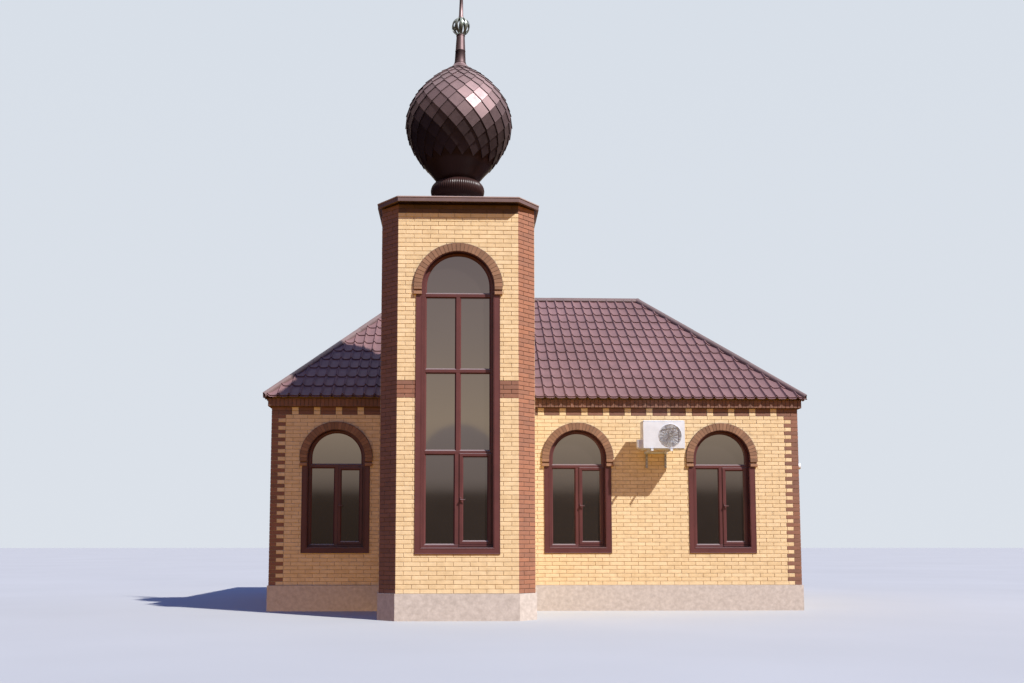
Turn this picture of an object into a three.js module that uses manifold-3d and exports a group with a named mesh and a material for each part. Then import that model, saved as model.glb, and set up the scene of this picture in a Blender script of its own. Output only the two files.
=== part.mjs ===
// Small straw brick prayer hall with a hipped metal roof and a domed tower before its front wall.
// Units are millimetres. X runs along the front wall, Y from the front to the rear, Z up.
// Everything is drawn with X = 0 on the tower's axis, Y = 0 on the front wall's outer face and
// Z = 0 on the ground; the last lines move the middle of the whole footprint to the origin.
import * as THREE from "three";
import { ConvexGeometry } from "three/addons/geometries/ConvexGeometry.js";
import { mergeVertices } from "three/addons/utils/BufferGeometryUtils.js";
import Module from "manifold-3d";

const wasm = await Module();
wasm.setup();

// Gap kept between faces that touch but don't share an exact flat plane.
const GAP = 0.3;

// Masonry
const COURSE = 70.5;
const WALL = 380;
const PLINTH_TOP = 450;
const PLINTH_OUT = 20;
const FLOOR_TOP = 500;

// Hall
const HALL_LEFT = -3330;
const HALL_RIGHT = 6160;
const HALL_DEPTH = 8200;
const HALL_MIDDLE = (HALL_LEFT + HALL_RIGHT) / 2;
const FRIEZE_TOP = PLINTH_TOP + 45 * COURSE;
const CORNICE_HEIGHT = 150;
const CORNICE_OUT = 60;

// Hall roof
const OVERHANG = 120;
const EAVE_BOTTOM = 3775;
const ROOF_THICKNESS = 50;
const ROOF_RISE = 2750;
const HIP_RUN = 2270;
const RIDGE_RUN = HALL_DEPTH / 2 + OVERHANG;
const CAP_RADIUS = 65;
const KNOB_GROWTH = 1.1;

// Tower
const TOWER_HALF = 1226;
const TOWER_CHAMFER = 274;
const TOWER_FRONT = -2480;
const TOWER_REAR = 250;
const TOWER_MIDDLE = (TOWER_FRONT + TOWER_REAR) / 2;
const TOWER_PLINTH_TOP = 415;
const TOWER_TOP = TOWER_PLINTH_TOP + 87 * COURSE;
const PASSAGE_TOP = 2900;

// Tower cap
const FASCIA_SIDE_OUT = 72;
const FASCIA_FRONT_OUT = 155;
const FASCIA_CHAMFER = [345, 420];
const FASCIA_DROP = 20;
const FASCIA_RISE = 72;
const FASCIA_THICK = 30;
const CAP_APEX_HALF = 470;
const CAP_HEIGHT = 390;

// Dome and spire, heights above the ground
const RING_MIDDLE = 7225;
const RING_TUBE = 155;
const RING_OUTER = 460;
const RING_FROM = -70;
const RING_TO = 80;
const DRUM_RADIUS = 400;
const DOME_TOP = 9385;
const DOME_CURVE = [
  [338, 7378],
  [388, 7432],
  [484, 7550],
  [618, 7700],
  [755, 7900],
  [858, 8100],
  [909, 8290],
  [916, 8440],
  [890, 8610],
  [815, 8800],
  [678, 9000],
  [484, 9200],
  [355, 9300],
  [243, DOME_TOP],
];
const COLLAR_RADII = [243, 222, 158, 122, 99];
const COLLAR_HEIGHTS = [0, 15, 62, 108, 135];
// The ring, the dome and the spire stand out of plumb by this much for each unit of height.
const DOME_LEAN = 0.016;
const LEAN_PIVOT = 8300;
const SPIRE_TOP_RADIUS = 70;
const BALL_BOTTOM = 10045;
const BALL_RADIUS = 158;
const BALL_CUT_DEGREES = 65;
const SPIKE_RADII = [42, 28, 8];
const SPIKE_BEND = 10700;
const SPIKE_TOP = 11250;
const ROUND_SIDES = 32;

// Windows: half the opening's width, its sill, and the height at which the arch springs
const SILL = 1110;
const CASING = 95;
const CASING_OUT = 15;
const LINING = 12;
const RECESS = 95;
const FRAME_DEPTH = 70;
const FRAME_BAR = 70;
const GLASS = 8;
const ARCH_BRICK = 135;
const ARCH_OUT = 35;
const HALL_WINDOW = { half: 508, spring: 2706, corbel: 2565, transoms: [2545], mullion: 110, mullionX: 25 };
const TOWER_WINDOW = {
  half: 566,
  spring: 5214,
  corbel: 5090,
  transoms: [2602, 3889, 5071],
  mullion: 85,
  mullionX: 0,
};
const FRONT_WINDOWS = { left: -2170, middle: 2150, right: 4755 };
const SIDE_WINDOWS = { front: 2150, rear: 6050 };
const REAR_WINDOWS = { left: HALL_MIDDLE - 3100, right: HALL_MIDDLE + 3100 };

// Entrance in the rear wall
const LEAF_THICKNESS = 50;
const STEP_RISE = 150;
const STEP_RUN = 300;
const LANDING = 900;
const STEPS_HALF = 850;

// Outdoor unit of the cooling, and the lamp on the right wall
const UNIT = { left: 3249, right: 3991, front: -515, rear: -205, bottom: 2837, top: 3341 };
const UNIT_FAN = { x: 3728, z: 3077, radius: 200, thickness: 14 };
const VALVE_COVER = { width: 88, front: -440, rear: -270, bottom: 2847, top: 3007 };
const BRACKET_BAR = 40;
const BRACKET_LEG = 300;
const BRACKET_LEFT = 3377;
const BRACKET_RIGHT = 3717;
const BRACKET_THICKNESS = 4;
const LAMP = { y: 300, z: 2600, radius: 60, length: 110 };
const LAMP_PLATE = { half: 45, thickness: 12 };

const finish = (color, roughness, metalness = 0) =>
  new THREE.MeshStandardMaterial({ color, roughness, metalness });
const MATERIAL = {
  straw_brick: finish(0xdcb77d, 0.85),
  brown_brick: finish(0x94604a, 0.85),
  plinth: finish(0xb9aaa0, 0.9),
  screed: finish(0x9a958c, 0.9),
  window_frame: finish(0x5a2a2e, 0.4),
  glass: finish(0x3a3a3a, 0.08),
  roof_metal: finish(0x4b3230, 0.45, 0.3),
  dome_metal: finish(0x4a2e30, 0.35, 0.5),
  finial_metal: finish(0x76867c, 0.35, 0.6),
  unit_casing: finish(0xe8e8e6, 0.5),
  unit_dark: finish(0x77706c, 0.6),
};

const house = new THREE.Group();

function add(name, geometry, material) {
  const mesh = new THREE.Mesh(geometry, MATERIAL[material]);
  mesh.name = name;
  house.add(mesh);
}

// Boolean joins and cuts
function solidOf(geometry) {
  const plain = geometry.clone();
  plain.deleteAttribute("normal");
  plain.deleteAttribute("uv");
  const merged = mergeVertices(plain, 1e-3);
  const triVerts = new Uint32Array(merged.index.array);
  return new wasm.Manifold(
    new wasm.Mesh({ numProp: 3, vertProperties: merged.attributes.position.array, triVerts }),
  );
}

function geometryOf(solid) {
  const mesh = solid.getMesh();
  return new THREE.BufferGeometry()
    .setAttribute("position", new THREE.BufferAttribute(new Float32Array(mesh.vertProperties), 3))
    .setIndex(new THREE.BufferAttribute(new Uint32Array(mesh.triVerts), 1));
}

function join(...geometries) {
  const solids = geometries.map(solidOf);
  return geometryOf(solids.reduce((whole, piece) => whole.add(piece)));
}

function cut(geometry, ...tools) {
  const start = solidOf(geometry);
  return geometryOf(tools.map(solidOf).reduce((rest, tool) => rest.subtract(tool), start));
}

function common(a, b) {
  return geometryOf(solidOf(a).intersect(solidOf(b)));
}

// Plain shapes
// Each writes its corners straight from the given sizes, so that flat faces that touch are equal.
function mapped(geometry, rule) {
  const position = geometry.attributes.position;
  for (let i = 0; i < position.count; i++) {
    position.setXYZ(i, ...rule(position.getX(i), position.getY(i), position.getZ(i)));
  }
  return geometry;
}

function box([x0, y0, z0], [x1, y1, z1]) {
  return mapped(new THREE.BoxGeometry(), (x, y, z) => [x < 0 ? x0 : x1, y < 0 ? y0 : y1, z < 0 ? z0 : z1]);
}

function polygon(points) {
  return new THREE.Shape(points.map(([x, y]) => new THREE.Vector2(x, y)));
}

// A plan outline raised from z0 to z1.
function raised(points, z0, z1) {
  const block = new THREE.ExtrudeGeometry(polygon(points), { depth: 1, bevelEnabled: false });
  return mapped(block, (x, y, z) => [x, y, z < 0.5 ? z0 : z1]);
}

// An outline in X and Z, given depth from y0 back to y1.
function upright(shape, y0, y1) {
  const block = new THREE.ExtrudeGeometry(shape, { depth: 1, bevelEnabled: false, curveSegments: 20 });
  return mapped(block, (x, z, depth) => [x, depth < 0.5 ? y1 : y0, z]);
}

// A round-headed outline, flat at the bottom.
function arched(half, bottom, spring) {
  const shape = new THREE.Shape();
  shape.moveTo(-half, bottom);
  shape.lineTo(half, bottom);
  shape.lineTo(half, spring);
  shape.absarc(0, spring, half, 0, Math.PI, false);
  shape.closePath();
  return shape;
}

function turned(profile, sides = ROUND_SIDES) {
  const points = profile.map(([r, z]) => new THREE.Vector2(r, z));
  return new THREE.LatheGeometry(points, sides).rotateX(Math.PI / 2);
}

// Puts a piece drawn on a front wall (outer face at Y = 0, middle at X = 0) on one of the four walls.
const WALL_PLACES = {
  front: (along) => new THREE.Matrix4().makeTranslation(along, 0, 0),
  rear: (along) => placed([-1, 0], [0, -1], along, HALL_DEPTH),
  left: (along) => placed([0, -1], [1, 0], HALL_LEFT, along),
  right: (along) => placed([0, 1], [-1, 0], HALL_RIGHT, along),
};

function placed([xx, xy], [yx, yy], x, y) {
  const along = new THREE.Vector3(xx, xy, 0);
  const inward = new THREE.Vector3(yx, yy, 0);
  const matrix = new THREE.Matrix4().makeBasis(along, inward, new THREE.Vector3(0, 0, 1));
  return matrix.setPosition(x, y, 0);
}

function onWall(side, along, geometry) {
  return geometry.clone().applyMatrix4(WALL_PLACES[side](along));
}

// Foundations and floor
const hallRoof = {
  left: HALL_LEFT - OVERHANG,
  right: HALL_RIGHT + OVERHANG,
  front: -OVERHANG,
  rear: HALL_DEPTH + OVERHANG,
  ridgeY: HALL_DEPTH / 2,
};
const frontSlope = ROOF_RISE / RIDGE_RUN;
const sideSlope = ROOF_RISE / HIP_RUN;
const frontWallTop = EAVE_BOTTOM + frontSlope * OVERHANG - GAP;
const atticTop = EAVE_BOTTOM + sideSlope * (OVERHANG + WALL);

function towerPlan(out) {
  const half = TOWER_HALF + out;
  const front = TOWER_FRONT - out;
  const rear = TOWER_REAR + out;
  const leg = TOWER_CHAMFER + out * (2 - Math.SQRT2);
  return [
    [-half, front + leg],
    [leg - half, front],
    [half - leg, front],
    [half, front + leg],
    [half, rear - leg],
    [half - leg, rear],
    [leg - half, rear],
    [-half, rear - leg],
  ];
}

// Everything below a hipped surface whose eaves lie at the given height, down to a floor.
function underHips(eaveHeight, floorHeight) {
  const { left, right, front, rear, ridgeY } = hallRoof;
  const point = (x, y, z) => new THREE.Vector3(x, y, z);
  const ridge = [left + HIP_RUN, right - HIP_RUN].map((x) => point(x, ridgeY, eaveHeight + ROOF_RISE));
  const rim = [[left, front], [left, rear], [right, front], [right, rear]];
  const eaves = rim.map(([x, y]) => point(x, y, eaveHeight));
  const feet = rim.map(([x, y]) => point(x, y, floorHeight));
  return new ConvexGeometry([...ridge, ...eaves, ...feet]);
}

function buildFoundations() {
  const reach = PLINTH_OUT;
  const hall = box(
    [HALL_LEFT - reach, -reach, 0],
    [HALL_RIGHT + reach, HALL_DEPTH + reach, PLINTH_TOP],
  );
  const towerReach = TOWER_HALF + reach;
  const seat = box([-towerReach, -WALL, -WALL], [towerReach, 0, PLINTH_TOP + WALL]);
  add("hall_plinth", cut(hall, seat), "plinth");
  const outline = [...towerPlan(reach).slice(0, 4), [towerReach, 0], [-towerReach, 0]];
  const block = raised(outline, 0, TOWER_PLINTH_TOP);
  const inner = TOWER_HALF - WALL - GAP;
  const floor = box([-inner, TOWER_FRONT + WALL + GAP, TOWER_PLINTH_TOP - 1], [inner, 0, FLOOR_TOP]);
  add("tower_plinth", join(block, floor), "plinth");
  const slab = box(
    [HALL_LEFT + WALL + GAP, WALL + GAP, PLINTH_TOP],
    [HALL_RIGHT - WALL - GAP, HALL_DEPTH - WALL - GAP, FLOOR_TOP],
  );
  const threshold = box([-inner, 0, PLINTH_TOP], [inner, WALL + 1, FLOOR_TOP]);
  add("floor_slab", join(slab, threshold), "screed");
}

// Walls, each with its window or door openings cut through
function openings(side, places, sill = SILL) {
  const { half, spring } = HALL_WINDOW;
  return places.map((along) => onWall(side, along, upright(arched(half, sill, spring), -WALL, 2 * WALL)));
}

function brickArch({ half, spring, corbel }) {
  const ring = upright(arched(half + ARCH_BRICK, corbel, spring), -ARCH_OUT, 0);
  return cut(ring, upright(arched(half, corbel - ARCH_BRICK, spring), -WALL, WALL));
}

// The rear and side walls carry their brick arches and cornice in one mass of masonry.
function masonryWall(side, wall, windows, door, halfLength) {
  const arches = [...windows, ...door].map((along) => onWall(side, along, sunk(brickArch(HALL_WINDOW))));
  const middle = side === "rear" ? HALL_MIDDLE : HALL_DEPTH / 2;
  const band = box([-halfLength, -CORNICE_OUT, FRIEZE_TOP], [halfLength, 1, corniceTop]);
  const cornice = onWall(side, middle, band);
  return cut(
    join(wall, cornice, ...arches),
    ...openings(side, windows),
    ...openings(side, door, FLOOR_TOP),
  );
}

// A brick arch drawn 1 mm into its wall, so that the two join.
function sunk(geometry) {
  return geometry.translate(0, 1, 0);
}

const corniceTop = FRIEZE_TOP + CORNICE_HEIGHT;

function buildWalls() {
  const inner = TOWER_HALF - WALL;
  const windows = FRONT_WINDOWS;
  const toRoof = (x0, y0, x1, y1) => {
    const block = box([x0, y0, PLINTH_TOP], [x1, y1, atticTop]);
    return common(block, underHips(EAVE_BOTTOM - GAP, 0));
  };
  const towerSeat = raised(rearWallPlan(GAP), frontWallTop, 2 * atticTop);
  const left = cut(toRoof(HALL_LEFT, 0, -inner, WALL), towerSeat);
  const right = cut(toRoof(inner, 0, HALL_RIGHT, WALL), towerSeat);
  add("front_wall_left", cut(left, ...openings("front", [windows.left])), "straw_brick");
  add("front_wall_right", cut(right, ...openings("front", [windows.middle, windows.right])), "straw_brick");
  const sides = [SIDE_WINDOWS.front, SIDE_WINDOWS.rear];
  const rearFace = HALL_DEPTH - WALL;
  const leftWall = toRoof(HALL_LEFT, WALL + GAP, HALL_LEFT + WALL, rearFace - GAP);
  const rightWall = toRoof(HALL_RIGHT - WALL, WALL + GAP, HALL_RIGHT, rearFace - GAP);
  const rearWall = toRoof(HALL_LEFT, rearFace, HALL_RIGHT, HALL_DEPTH);
  const sideHalf = HALL_DEPTH / 2 - WALL - GAP;
  const rearHalf = (HALL_RIGHT - HALL_LEFT) / 2;
  const rearPlaces = [REAR_WINDOWS.left, REAR_WINDOWS.right];
  add("left_wall", masonryWall("left", leftWall, sides, [], sideHalf), "straw_brick");
  add("right_wall", masonryWall("right", rightWall, sides, [], sideHalf), "straw_brick");
  add("rear_wall", masonryWall("rear", rearWall, rearPlaces, [HALL_MIDDLE], rearHalf), "straw_brick");
}

function buildFrontTrim() {
  const low = FRIEZE_TOP;
  const leftCornice = box([HALL_LEFT - CORNICE_OUT, -CORNICE_OUT, low], [-TOWER_HALF, 0, corniceTop]);
  const rightCornice = box([TOWER_HALF, -CORNICE_OUT, low], [HALL_RIGHT + CORNICE_OUT, 0, corniceTop]);
  add("cornice_front_left", leftCornice, "brown_brick");
  add("cornice_front_right", rightCornice, "brown_brick");
  for (const [place, along] of Object.entries(FRONT_WINDOWS)) {
    add("front_arch_" + place, onWall("front", along, brickArch(HALL_WINDOW)), "brown_brick");
  }
  add("tower_arch", brickArch(TOWER_WINDOW).translate(0, TOWER_FRONT, 0), "brown_brick");
}

// The tower's rear wall stands on the hall's front wall, with its rear corners cut off.
function rearWallPlan(out) {
  const half = TOWER_HALF + out;
  const rear = TOWER_REAR + out;
  return [[-half, -out], [half, -out], [half - TOWER_REAR, rear], [TOWER_REAR - half, rear]];
}

function buildTowerWalls() {
  const back = TOWER_FRONT + WALL;
  const plan = [...towerPlan(0).slice(0, 4), [TOWER_HALF, back], [-TOWER_HALF, back]];
  const front = raised(plan, TOWER_PLINTH_TOP, TOWER_TOP);
  const { half, spring } = TOWER_WINDOW;
  const hole = upright(arched(half, SILL, spring), TOWER_FRONT - WALL, back + WALL);
  add("tower_front_wall", cut(front, hole), "straw_brick");
  const inner = TOWER_HALF - WALL;
  for (const [side, sign] of [["left", -1], ["right", 1]]) {
    const x = [sign * inner, sign * TOWER_HALF].sort((a, b) => a - b);
    add(`tower_${side}_wall`, box([x[0], back, TOWER_PLINTH_TOP], [x[1], 0, TOWER_TOP]), "straw_brick");
  }
  const upper = raised(rearWallPlan(0), frontWallTop, TOWER_TOP);
  const lintel = box([-inner, 0, PASSAGE_TOP], [inner, WALL, frontWallTop + COURSE / 2]);
  add("tower_rear_wall", join(upper, lintel), "straw_brick");
}

// Windows: frame with its bars, reveal lining and flat sheet casing in one painted piece
function windowFrame({ half, spring, corbel, transoms, mullion, mullionX }, bottom = SILL) {
  const outer = half - GAP;
  const y0 = RECESS;
  const y1 = RECESS + FRAME_DEPTH;
  const light = half - FRAME_BAR;
  const top = Math.max(...transoms);
  const frame = upright(arched(outer, bottom + GAP, spring), y0, y1);
  const glazed = upright(arched(light, bottom + FRAME_BAR, spring), -WALL, WALL);
  const rail = FRAME_BAR / 2;
  const bars = transoms.map((z) => box([-light - 1, y0, z - rail], [light + 1, y1, z + rail]));
  const post = box([mullionX - mullion / 2, y0, bottom + FRAME_BAR - 1], [mullionX + mullion / 2, y1, top]);
  return { frame: cut(frame, glazed), bars, post, outer, corbel };
}

function casedWindow(design) {
  const { frame, bars, post, outer, corbel } = windowFrame(design);
  const wide = design.half + CASING;
  const plate = box([-wide, -CASING_OUT, SILL - CASING], [wide, 0, corbel - GAP]);
  const clear = outer - LINING - GAP;
  const light = box([-clear, -WALL, SILL + LINING], [clear, WALL, corbel + WALL]);
  const lining = box([-outer, -CASING_OUT, SILL + GAP], [outer, RECESS + 1, corbel - GAP]);
  return join(frame, ...bars, post, cut(plate, light), cut(lining, light));
}

function glassPane({ half, spring }, bottom = SILL) {
  const y = RECESS + FRAME_DEPTH + GAP;
  return upright(arched(half - LINING, bottom + LINING, spring), y, y + GLASS);
}

function buildWindows() {
  for (const [place, along] of Object.entries(FRONT_WINDOWS)) {
    add("front_window_" + place, onWall("front", along, casedWindow(HALL_WINDOW)), "window_frame");
    add("front_glass_" + place, onWall("front", along, glassPane(HALL_WINDOW)), "glass");
  }
  add("tower_window", casedWindow(TOWER_WINDOW).translate(0, TOWER_FRONT, 0), "window_frame");
  add("tower_glass", glassPane(TOWER_WINDOW).translate(0, TOWER_FRONT, 0), "glass");
  for (const side of ["left", "right"]) {
    for (const [place, along] of Object.entries(SIDE_WINDOWS)) {
      add(`${side}_window_${place}`, onWall(side, along, casedWindow(HALL_WINDOW)), "window_frame");
    }
  }
  for (const [place, along] of Object.entries(REAR_WINDOWS)) {
    add("rear_window_" + place, onWall("rear", along, casedWindow(HALL_WINDOW)), "window_frame");
  }
  // One sheet against the wall's inner face closes each unseen wall's windows.
  const reach = HALL_WINDOW.half + CASING;
  const top = HALL_WINDOW.spring + reach;
  const sheet = (length) =>
    box([-length / 2 - reach, WALL + GAP, SILL - CASING], [length / 2 + reach, WALL + GAP + GLASS, top]);
  const sideLength = SIDE_WINDOWS.rear - SIDE_WINDOWS.front;
  const sideMiddle = (SIDE_WINDOWS.rear + SIDE_WINDOWS.front) / 2;
  add("left_glass", onWall("left", sideMiddle, sheet(sideLength)), "glass");
  add("right_glass", onWall("right", sideMiddle, sheet(sideLength)), "glass");
  const rearSheet = sheet(REAR_WINDOWS.right - REAR_WINDOWS.left);
  const doorway = upright(arched(HALL_WINDOW.half, 0, HALL_WINDOW.transoms[0]), 0, 2 * WALL);
  add("rear_glass", onWall("rear", HALL_MIDDLE, cut(rearSheet, belowTransom(doorway))), "glass");
}

// The doorway's part of the rear sheet is cut away up to the transom.
function belowTransom(doorway) {
  const { transoms, spring } = HALL_WINDOW;
  const lid = box([-WALL * 2, -WALL, transoms[0]], [WALL * 2, 3 * WALL, spring * 2]);
  return cut(doorway, lid);
}

function buildEntrance() {
  const { half, spring, transoms } = HALL_WINDOW;
  const transom = transoms[0];
  const outer = half - GAP;
  const light = half - FRAME_BAR;
  const y = [RECESS, RECESS + FRAME_DEPTH];
  const blank = upright(arched(outer, FLOOR_TOP + GAP, spring), y[0], y[1]);
  const hole = upright(arched(light, 0, spring), -WALL, WALL);
  const bar = box([-light - 1, y[0], transom - FRAME_BAR / 2], [light + 1, y[1], transom + FRAME_BAR / 2]);
  add("entrance_frame", onWall("rear", HALL_MIDDLE, join(cut(blank, hole), bar)), "window_frame");
  const leaf = box(
    [GAP - light, y[0] + GAP, FLOOR_TOP + GAP],
    [light - GAP, y[0] + LEAF_THICKNESS, transom - FRAME_BAR / 2 - GAP],
  );
  add("entrance_door", onWall("rear", HALL_MIDDLE, leaf), "window_frame");
  const start = HALL_DEPTH + PLINTH_OUT;
  const steps = [3, 2, 1].map((step) => {
    const reach = start + LANDING + (3 - step) * STEP_RUN;
    return box([HALL_MIDDLE - STEPS_HALF, start, 0], [HALL_MIDDLE + STEPS_HALF, reach, step * STEP_RISE]);
  });
  add("entrance_steps", join(...steps), "plinth");
}

// A roof slope: its plan outline lies on the eave plane and is lifted by the given rule.
function slope(points, lift) {
  const flat = raised(points, 0, ROOF_THICKNESS);
  const position = flat.attributes.position;
  for (let i = 0; i < position.count; i++) {
    const rise = lift(position.getX(i), position.getY(i));
    position.setZ(i, position.getZ(i) + EAVE_BOTTOM + rise);
  }
  return flat;
}

function buildRoof() {
  const { left, right, front, rear, ridgeY } = hallRoof;
  const ridgeLeft = left + HIP_RUN;
  const ridgeRight = right - HIP_RUN;
  const notch = TOWER_HALF + GAP;
  const notchRear = TOWER_REAR + GAP;
  const notchCorner = TOWER_HALF - TOWER_REAR + GAP;
  const frontPlan = [
    [left + GAP, front],
    [-notch, front],
    [-notch, GAP],
    [-notchCorner, notchRear],
    [notchCorner, notchRear],
    [notch, GAP],
    [notch, front],
    [right - GAP, front],
    [ridgeRight - GAP, ridgeY - GAP],
    [ridgeLeft + GAP, ridgeY - GAP],
  ];
  add("roof_front", slope(frontPlan, (x, y) => frontSlope * (y - front)), "roof_metal");
  const rearPlan = [
    [right - GAP, rear],
    [left + GAP, rear],
    [ridgeLeft + GAP, ridgeY],
    [ridgeRight - GAP, ridgeY],
  ];
  add("roof_rear", slope(rearPlan, (x, y) => frontSlope * (rear - y)), "roof_metal");
  const leftPlan = [
    [left, front + GAP],
    [ridgeLeft - GAP, ridgeY],
    [left, rear - GAP],
  ];
  add("roof_left", slope(leftPlan, (x) => sideSlope * (x - left)), "roof_metal");
  const rightPlan = [
    [right, front + GAP],
    [right, rear - GAP],
    [ridgeRight + GAP, ridgeY],
  ];
  add("roof_right", slope(rightPlan, (x) => sideSlope * (right - x)), "roof_metal");
  add("ridge_and_hip_caps", ridgeCaps(ridgeLeft, ridgeRight), "roof_metal");
}

// Round caps along the ridge and the four hips, trimmed to what stands above the slopes.
function ridgeCaps(ridgeLeft, ridgeRight) {
  const { left, right, front, rear, ridgeY } = hallRoof;
  const low = EAVE_BOTTOM + ROOF_THICKNESS;
  const high = low + ROOF_RISE;
  const point = (x, y, z) => new THREE.Vector3(x, y, z);
  const ends = [point(ridgeLeft, ridgeY, high), point(ridgeRight, ridgeY, high)];
  const corners = [
    [point(left, front, low), ends[0]],
    [point(left, rear, low), ends[0]],
    [point(right, front, low), ends[1]],
    [point(right, rear, low), ends[1]],
    ends,
  ];
  const bars = corners.map(([a, b]) => bar(a, b, CAP_RADIUS));
  const knob = new THREE.SphereGeometry(CAP_RADIUS * KNOB_GROWTH, 12, 8);
  const knobs = ends.map((end) => knob.clone().translate(...end.toArray()));
  const below = underHips(low + GAP, 0);
  return cut(join(...bars, ...knobs), below);
}

function bar(a, b, radius, sides = 10) {
  const length = a.distanceTo(b);
  const geometry = new THREE.CylinderGeometry(radius, radius, length, sides);
  const up = new THREE.Vector3(0, 1, 0);
  const turn = new THREE.Quaternion().setFromUnitVectors(up, b.clone().sub(a).normalize());
  const middle = a.clone().add(b).multiplyScalar(0.5);
  return geometry.applyQuaternion(turn).translate(...middle.toArray());
}

// The cap's outline, which reaches further out at the front and rear than at the sides.
function capPlan(inset) {
  const half = TOWER_HALF + FASCIA_SIDE_OUT - inset;
  const front = TOWER_FRONT - FASCIA_FRONT_OUT + inset;
  const rear = TOWER_REAR + FASCIA_FRONT_OUT - inset;
  const [across, deep] = FASCIA_CHAMFER;
  return [
    [-half, front + deep],
    [across - half, front],
    [half - across, front],
    [half, front + deep],
    [half, rear - deep],
    [half - across, rear],
    [across - half, rear],
    [-half, rear - deep],
  ];
}

function buildTowerTop() {
  const base = TOWER_TOP + GAP;
  const low = base - FASCIA_DROP;
  const fasciaTop = base + FASCIA_RISE;
  const hollow = raised(capPlan(FASCIA_THICK), low - 1, base);
  const fascia = cut(raised(capPlan(0), low, fasciaTop), hollow);
  const capTop = base + CAP_HEIGHT;
  const halfDepth = (TOWER_REAR - TOWER_FRONT) / 2;
  const rim = capPlan(0).map(([x, y]) => new THREE.Vector3(x, y, fasciaTop - 1));
  const crown = towerPlan(0).map(([x, y]) => {
    const inY = (y - TOWER_MIDDLE) * (CAP_APEX_HALF / halfDepth);
    return new THREE.Vector3((x * CAP_APEX_HALF) / TOWER_HALF, TOWER_MIDDLE + inY, capTop);
  });
  add("tower_cap", join(fascia, new ConvexGeometry([...rim, ...crown])), "roof_metal");
  buildDome(capTop + GAP);
}

function buildDome(base) {
  const lean = new THREE.Matrix4().makeShear(0, 0, 0, 0, DOME_LEAN, 0);
  lean.setPosition(-DOME_LEAN * LEAN_PIVOT, TOWER_MIDDLE, 0);
  const onTower = (geometry) => geometry.applyMatrix4(lean);
  const major = RING_OUTER - RING_TUBE;
  const ringProfile = [[0, base], [DRUM_RADIUS, base]];
  const steps = 10;
  for (let i = 0; i <= steps; i++) {
    const angle = radians(RING_FROM + (i / steps) * (RING_TO - RING_FROM));
    const height = RING_MIDDLE + RING_TUBE * Math.sin(angle);
    ringProfile.push([major + RING_TUBE * Math.cos(angle), height]);
  }
  const ringTop = ringProfile[ringProfile.length - 1][1];
  ringProfile.push([0, ringTop]);
  add("dome_ring", onTower(turned(ringProfile)), "dome_metal");
  const spline = new THREE.SplineCurve(DOME_CURVE.map(([r, z]) => new THREE.Vector2(r, z)));
  const shell = spline.getPoints(20).map((p) => [p.x, Math.max(p.y, ringTop + GAP)]);
  const domeProfile = [[0, ringTop + GAP], ...shell, [0, DOME_TOP]];
  add("dome", onTower(turned(domeProfile)), "dome_metal");
  const foot = DOME_TOP + GAP;
  const collar = COLLAR_RADII.map((radius, i) => [radius, foot + COLLAR_HEIGHTS[i]]);
  const spireProfile = [[0, foot], ...collar, [SPIRE_TOP_RADIUS, BALL_BOTTOM], [0, BALL_BOTTOM]];
  add("spire", onTower(turned(spireProfile, 20)), "dome_metal");
  const ballTop = BALL_BOTTOM + GAP + 2 * BALL_RADIUS;
  const ball = turned(ballProfile(BALL_BOTTOM + GAP, ballTop), 20);
  add("finial_ball", onTower(ball), "finial_metal");
  const spikeFoot = ballTop + GAP;
  const [footRadius, bendRadius, tipRadius] = SPIKE_RADII;
  const spike = [
    [0, spikeFoot],
    [footRadius, spikeFoot],
    [bendRadius, SPIKE_BEND],
    [tipRadius, SPIKE_TOP],
    [0, SPIKE_TOP],
  ];
  add("finial_spike", onTower(turned(spike, 16)), "dome_metal");
}

const radians = (degrees) => (degrees * Math.PI) / 180;

// A ball with a flat at its top and one at its bottom.
function ballProfile(bottom, top) {
  const middle = (bottom + top) / 2;
  const stretch = BALL_RADIUS / Math.sin(radians(BALL_CUT_DEGREES));
  const rim = [];
  for (let degrees = -BALL_CUT_DEGREES; degrees <= BALL_CUT_DEGREES; degrees += 13) {
    const height = middle + stretch * Math.sin(radians(degrees));
    rim.push([BALL_RADIUS * Math.cos(radians(degrees)), height]);
  }
  rim[0][1] = bottom;
  rim[rim.length - 1][1] = top;
  return [[0, bottom], ...rim, [0, top]];
}

function buildOutdoorUnit() {
  const { left, right, front, rear, bottom, top } = UNIT;
  const body = box([left, front, bottom], [right, rear, top]);
  const cover = box(
    [left - VALVE_COVER.width, VALVE_COVER.front, VALVE_COVER.bottom],
    [left + 1, VALVE_COVER.rear, VALVE_COVER.top],
  );
  add("cooling_unit", join(body, cover), "unit_casing");
  const { x: fanX, z: fanZ, radius, thickness } = UNIT_FAN;
  const disc = new THREE.CylinderGeometry(radius, radius, thickness, 28);
  add("cooling_unit_guard", disc.translate(fanX, front - thickness / 2 - GAP, fanZ), "unit_dark");
  const seat = bottom - GAP;
  const thick = BRACKET_THICKNESS;
  const arms = [BRACKET_LEFT, BRACKET_RIGHT].flatMap((x) => [
    box([x, front + BRACKET_BAR / 2, seat - BRACKET_BAR], [x + BRACKET_BAR, 0, seat]),
    box([x, -thick, seat - BRACKET_LEG], [x + BRACKET_BAR, 0, seat]),
  ]);
  const railEnds = [BRACKET_LEFT - BRACKET_BAR / 2, BRACKET_RIGHT + BRACKET_BAR * 1.5];
  const rail = box([railEnds[0], -thick * 2, seat - BRACKET_BAR], [railEnds[1], 0, seat]);
  add("cooling_unit_bracket", join(...arms, rail), "unit_casing");
}

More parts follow.
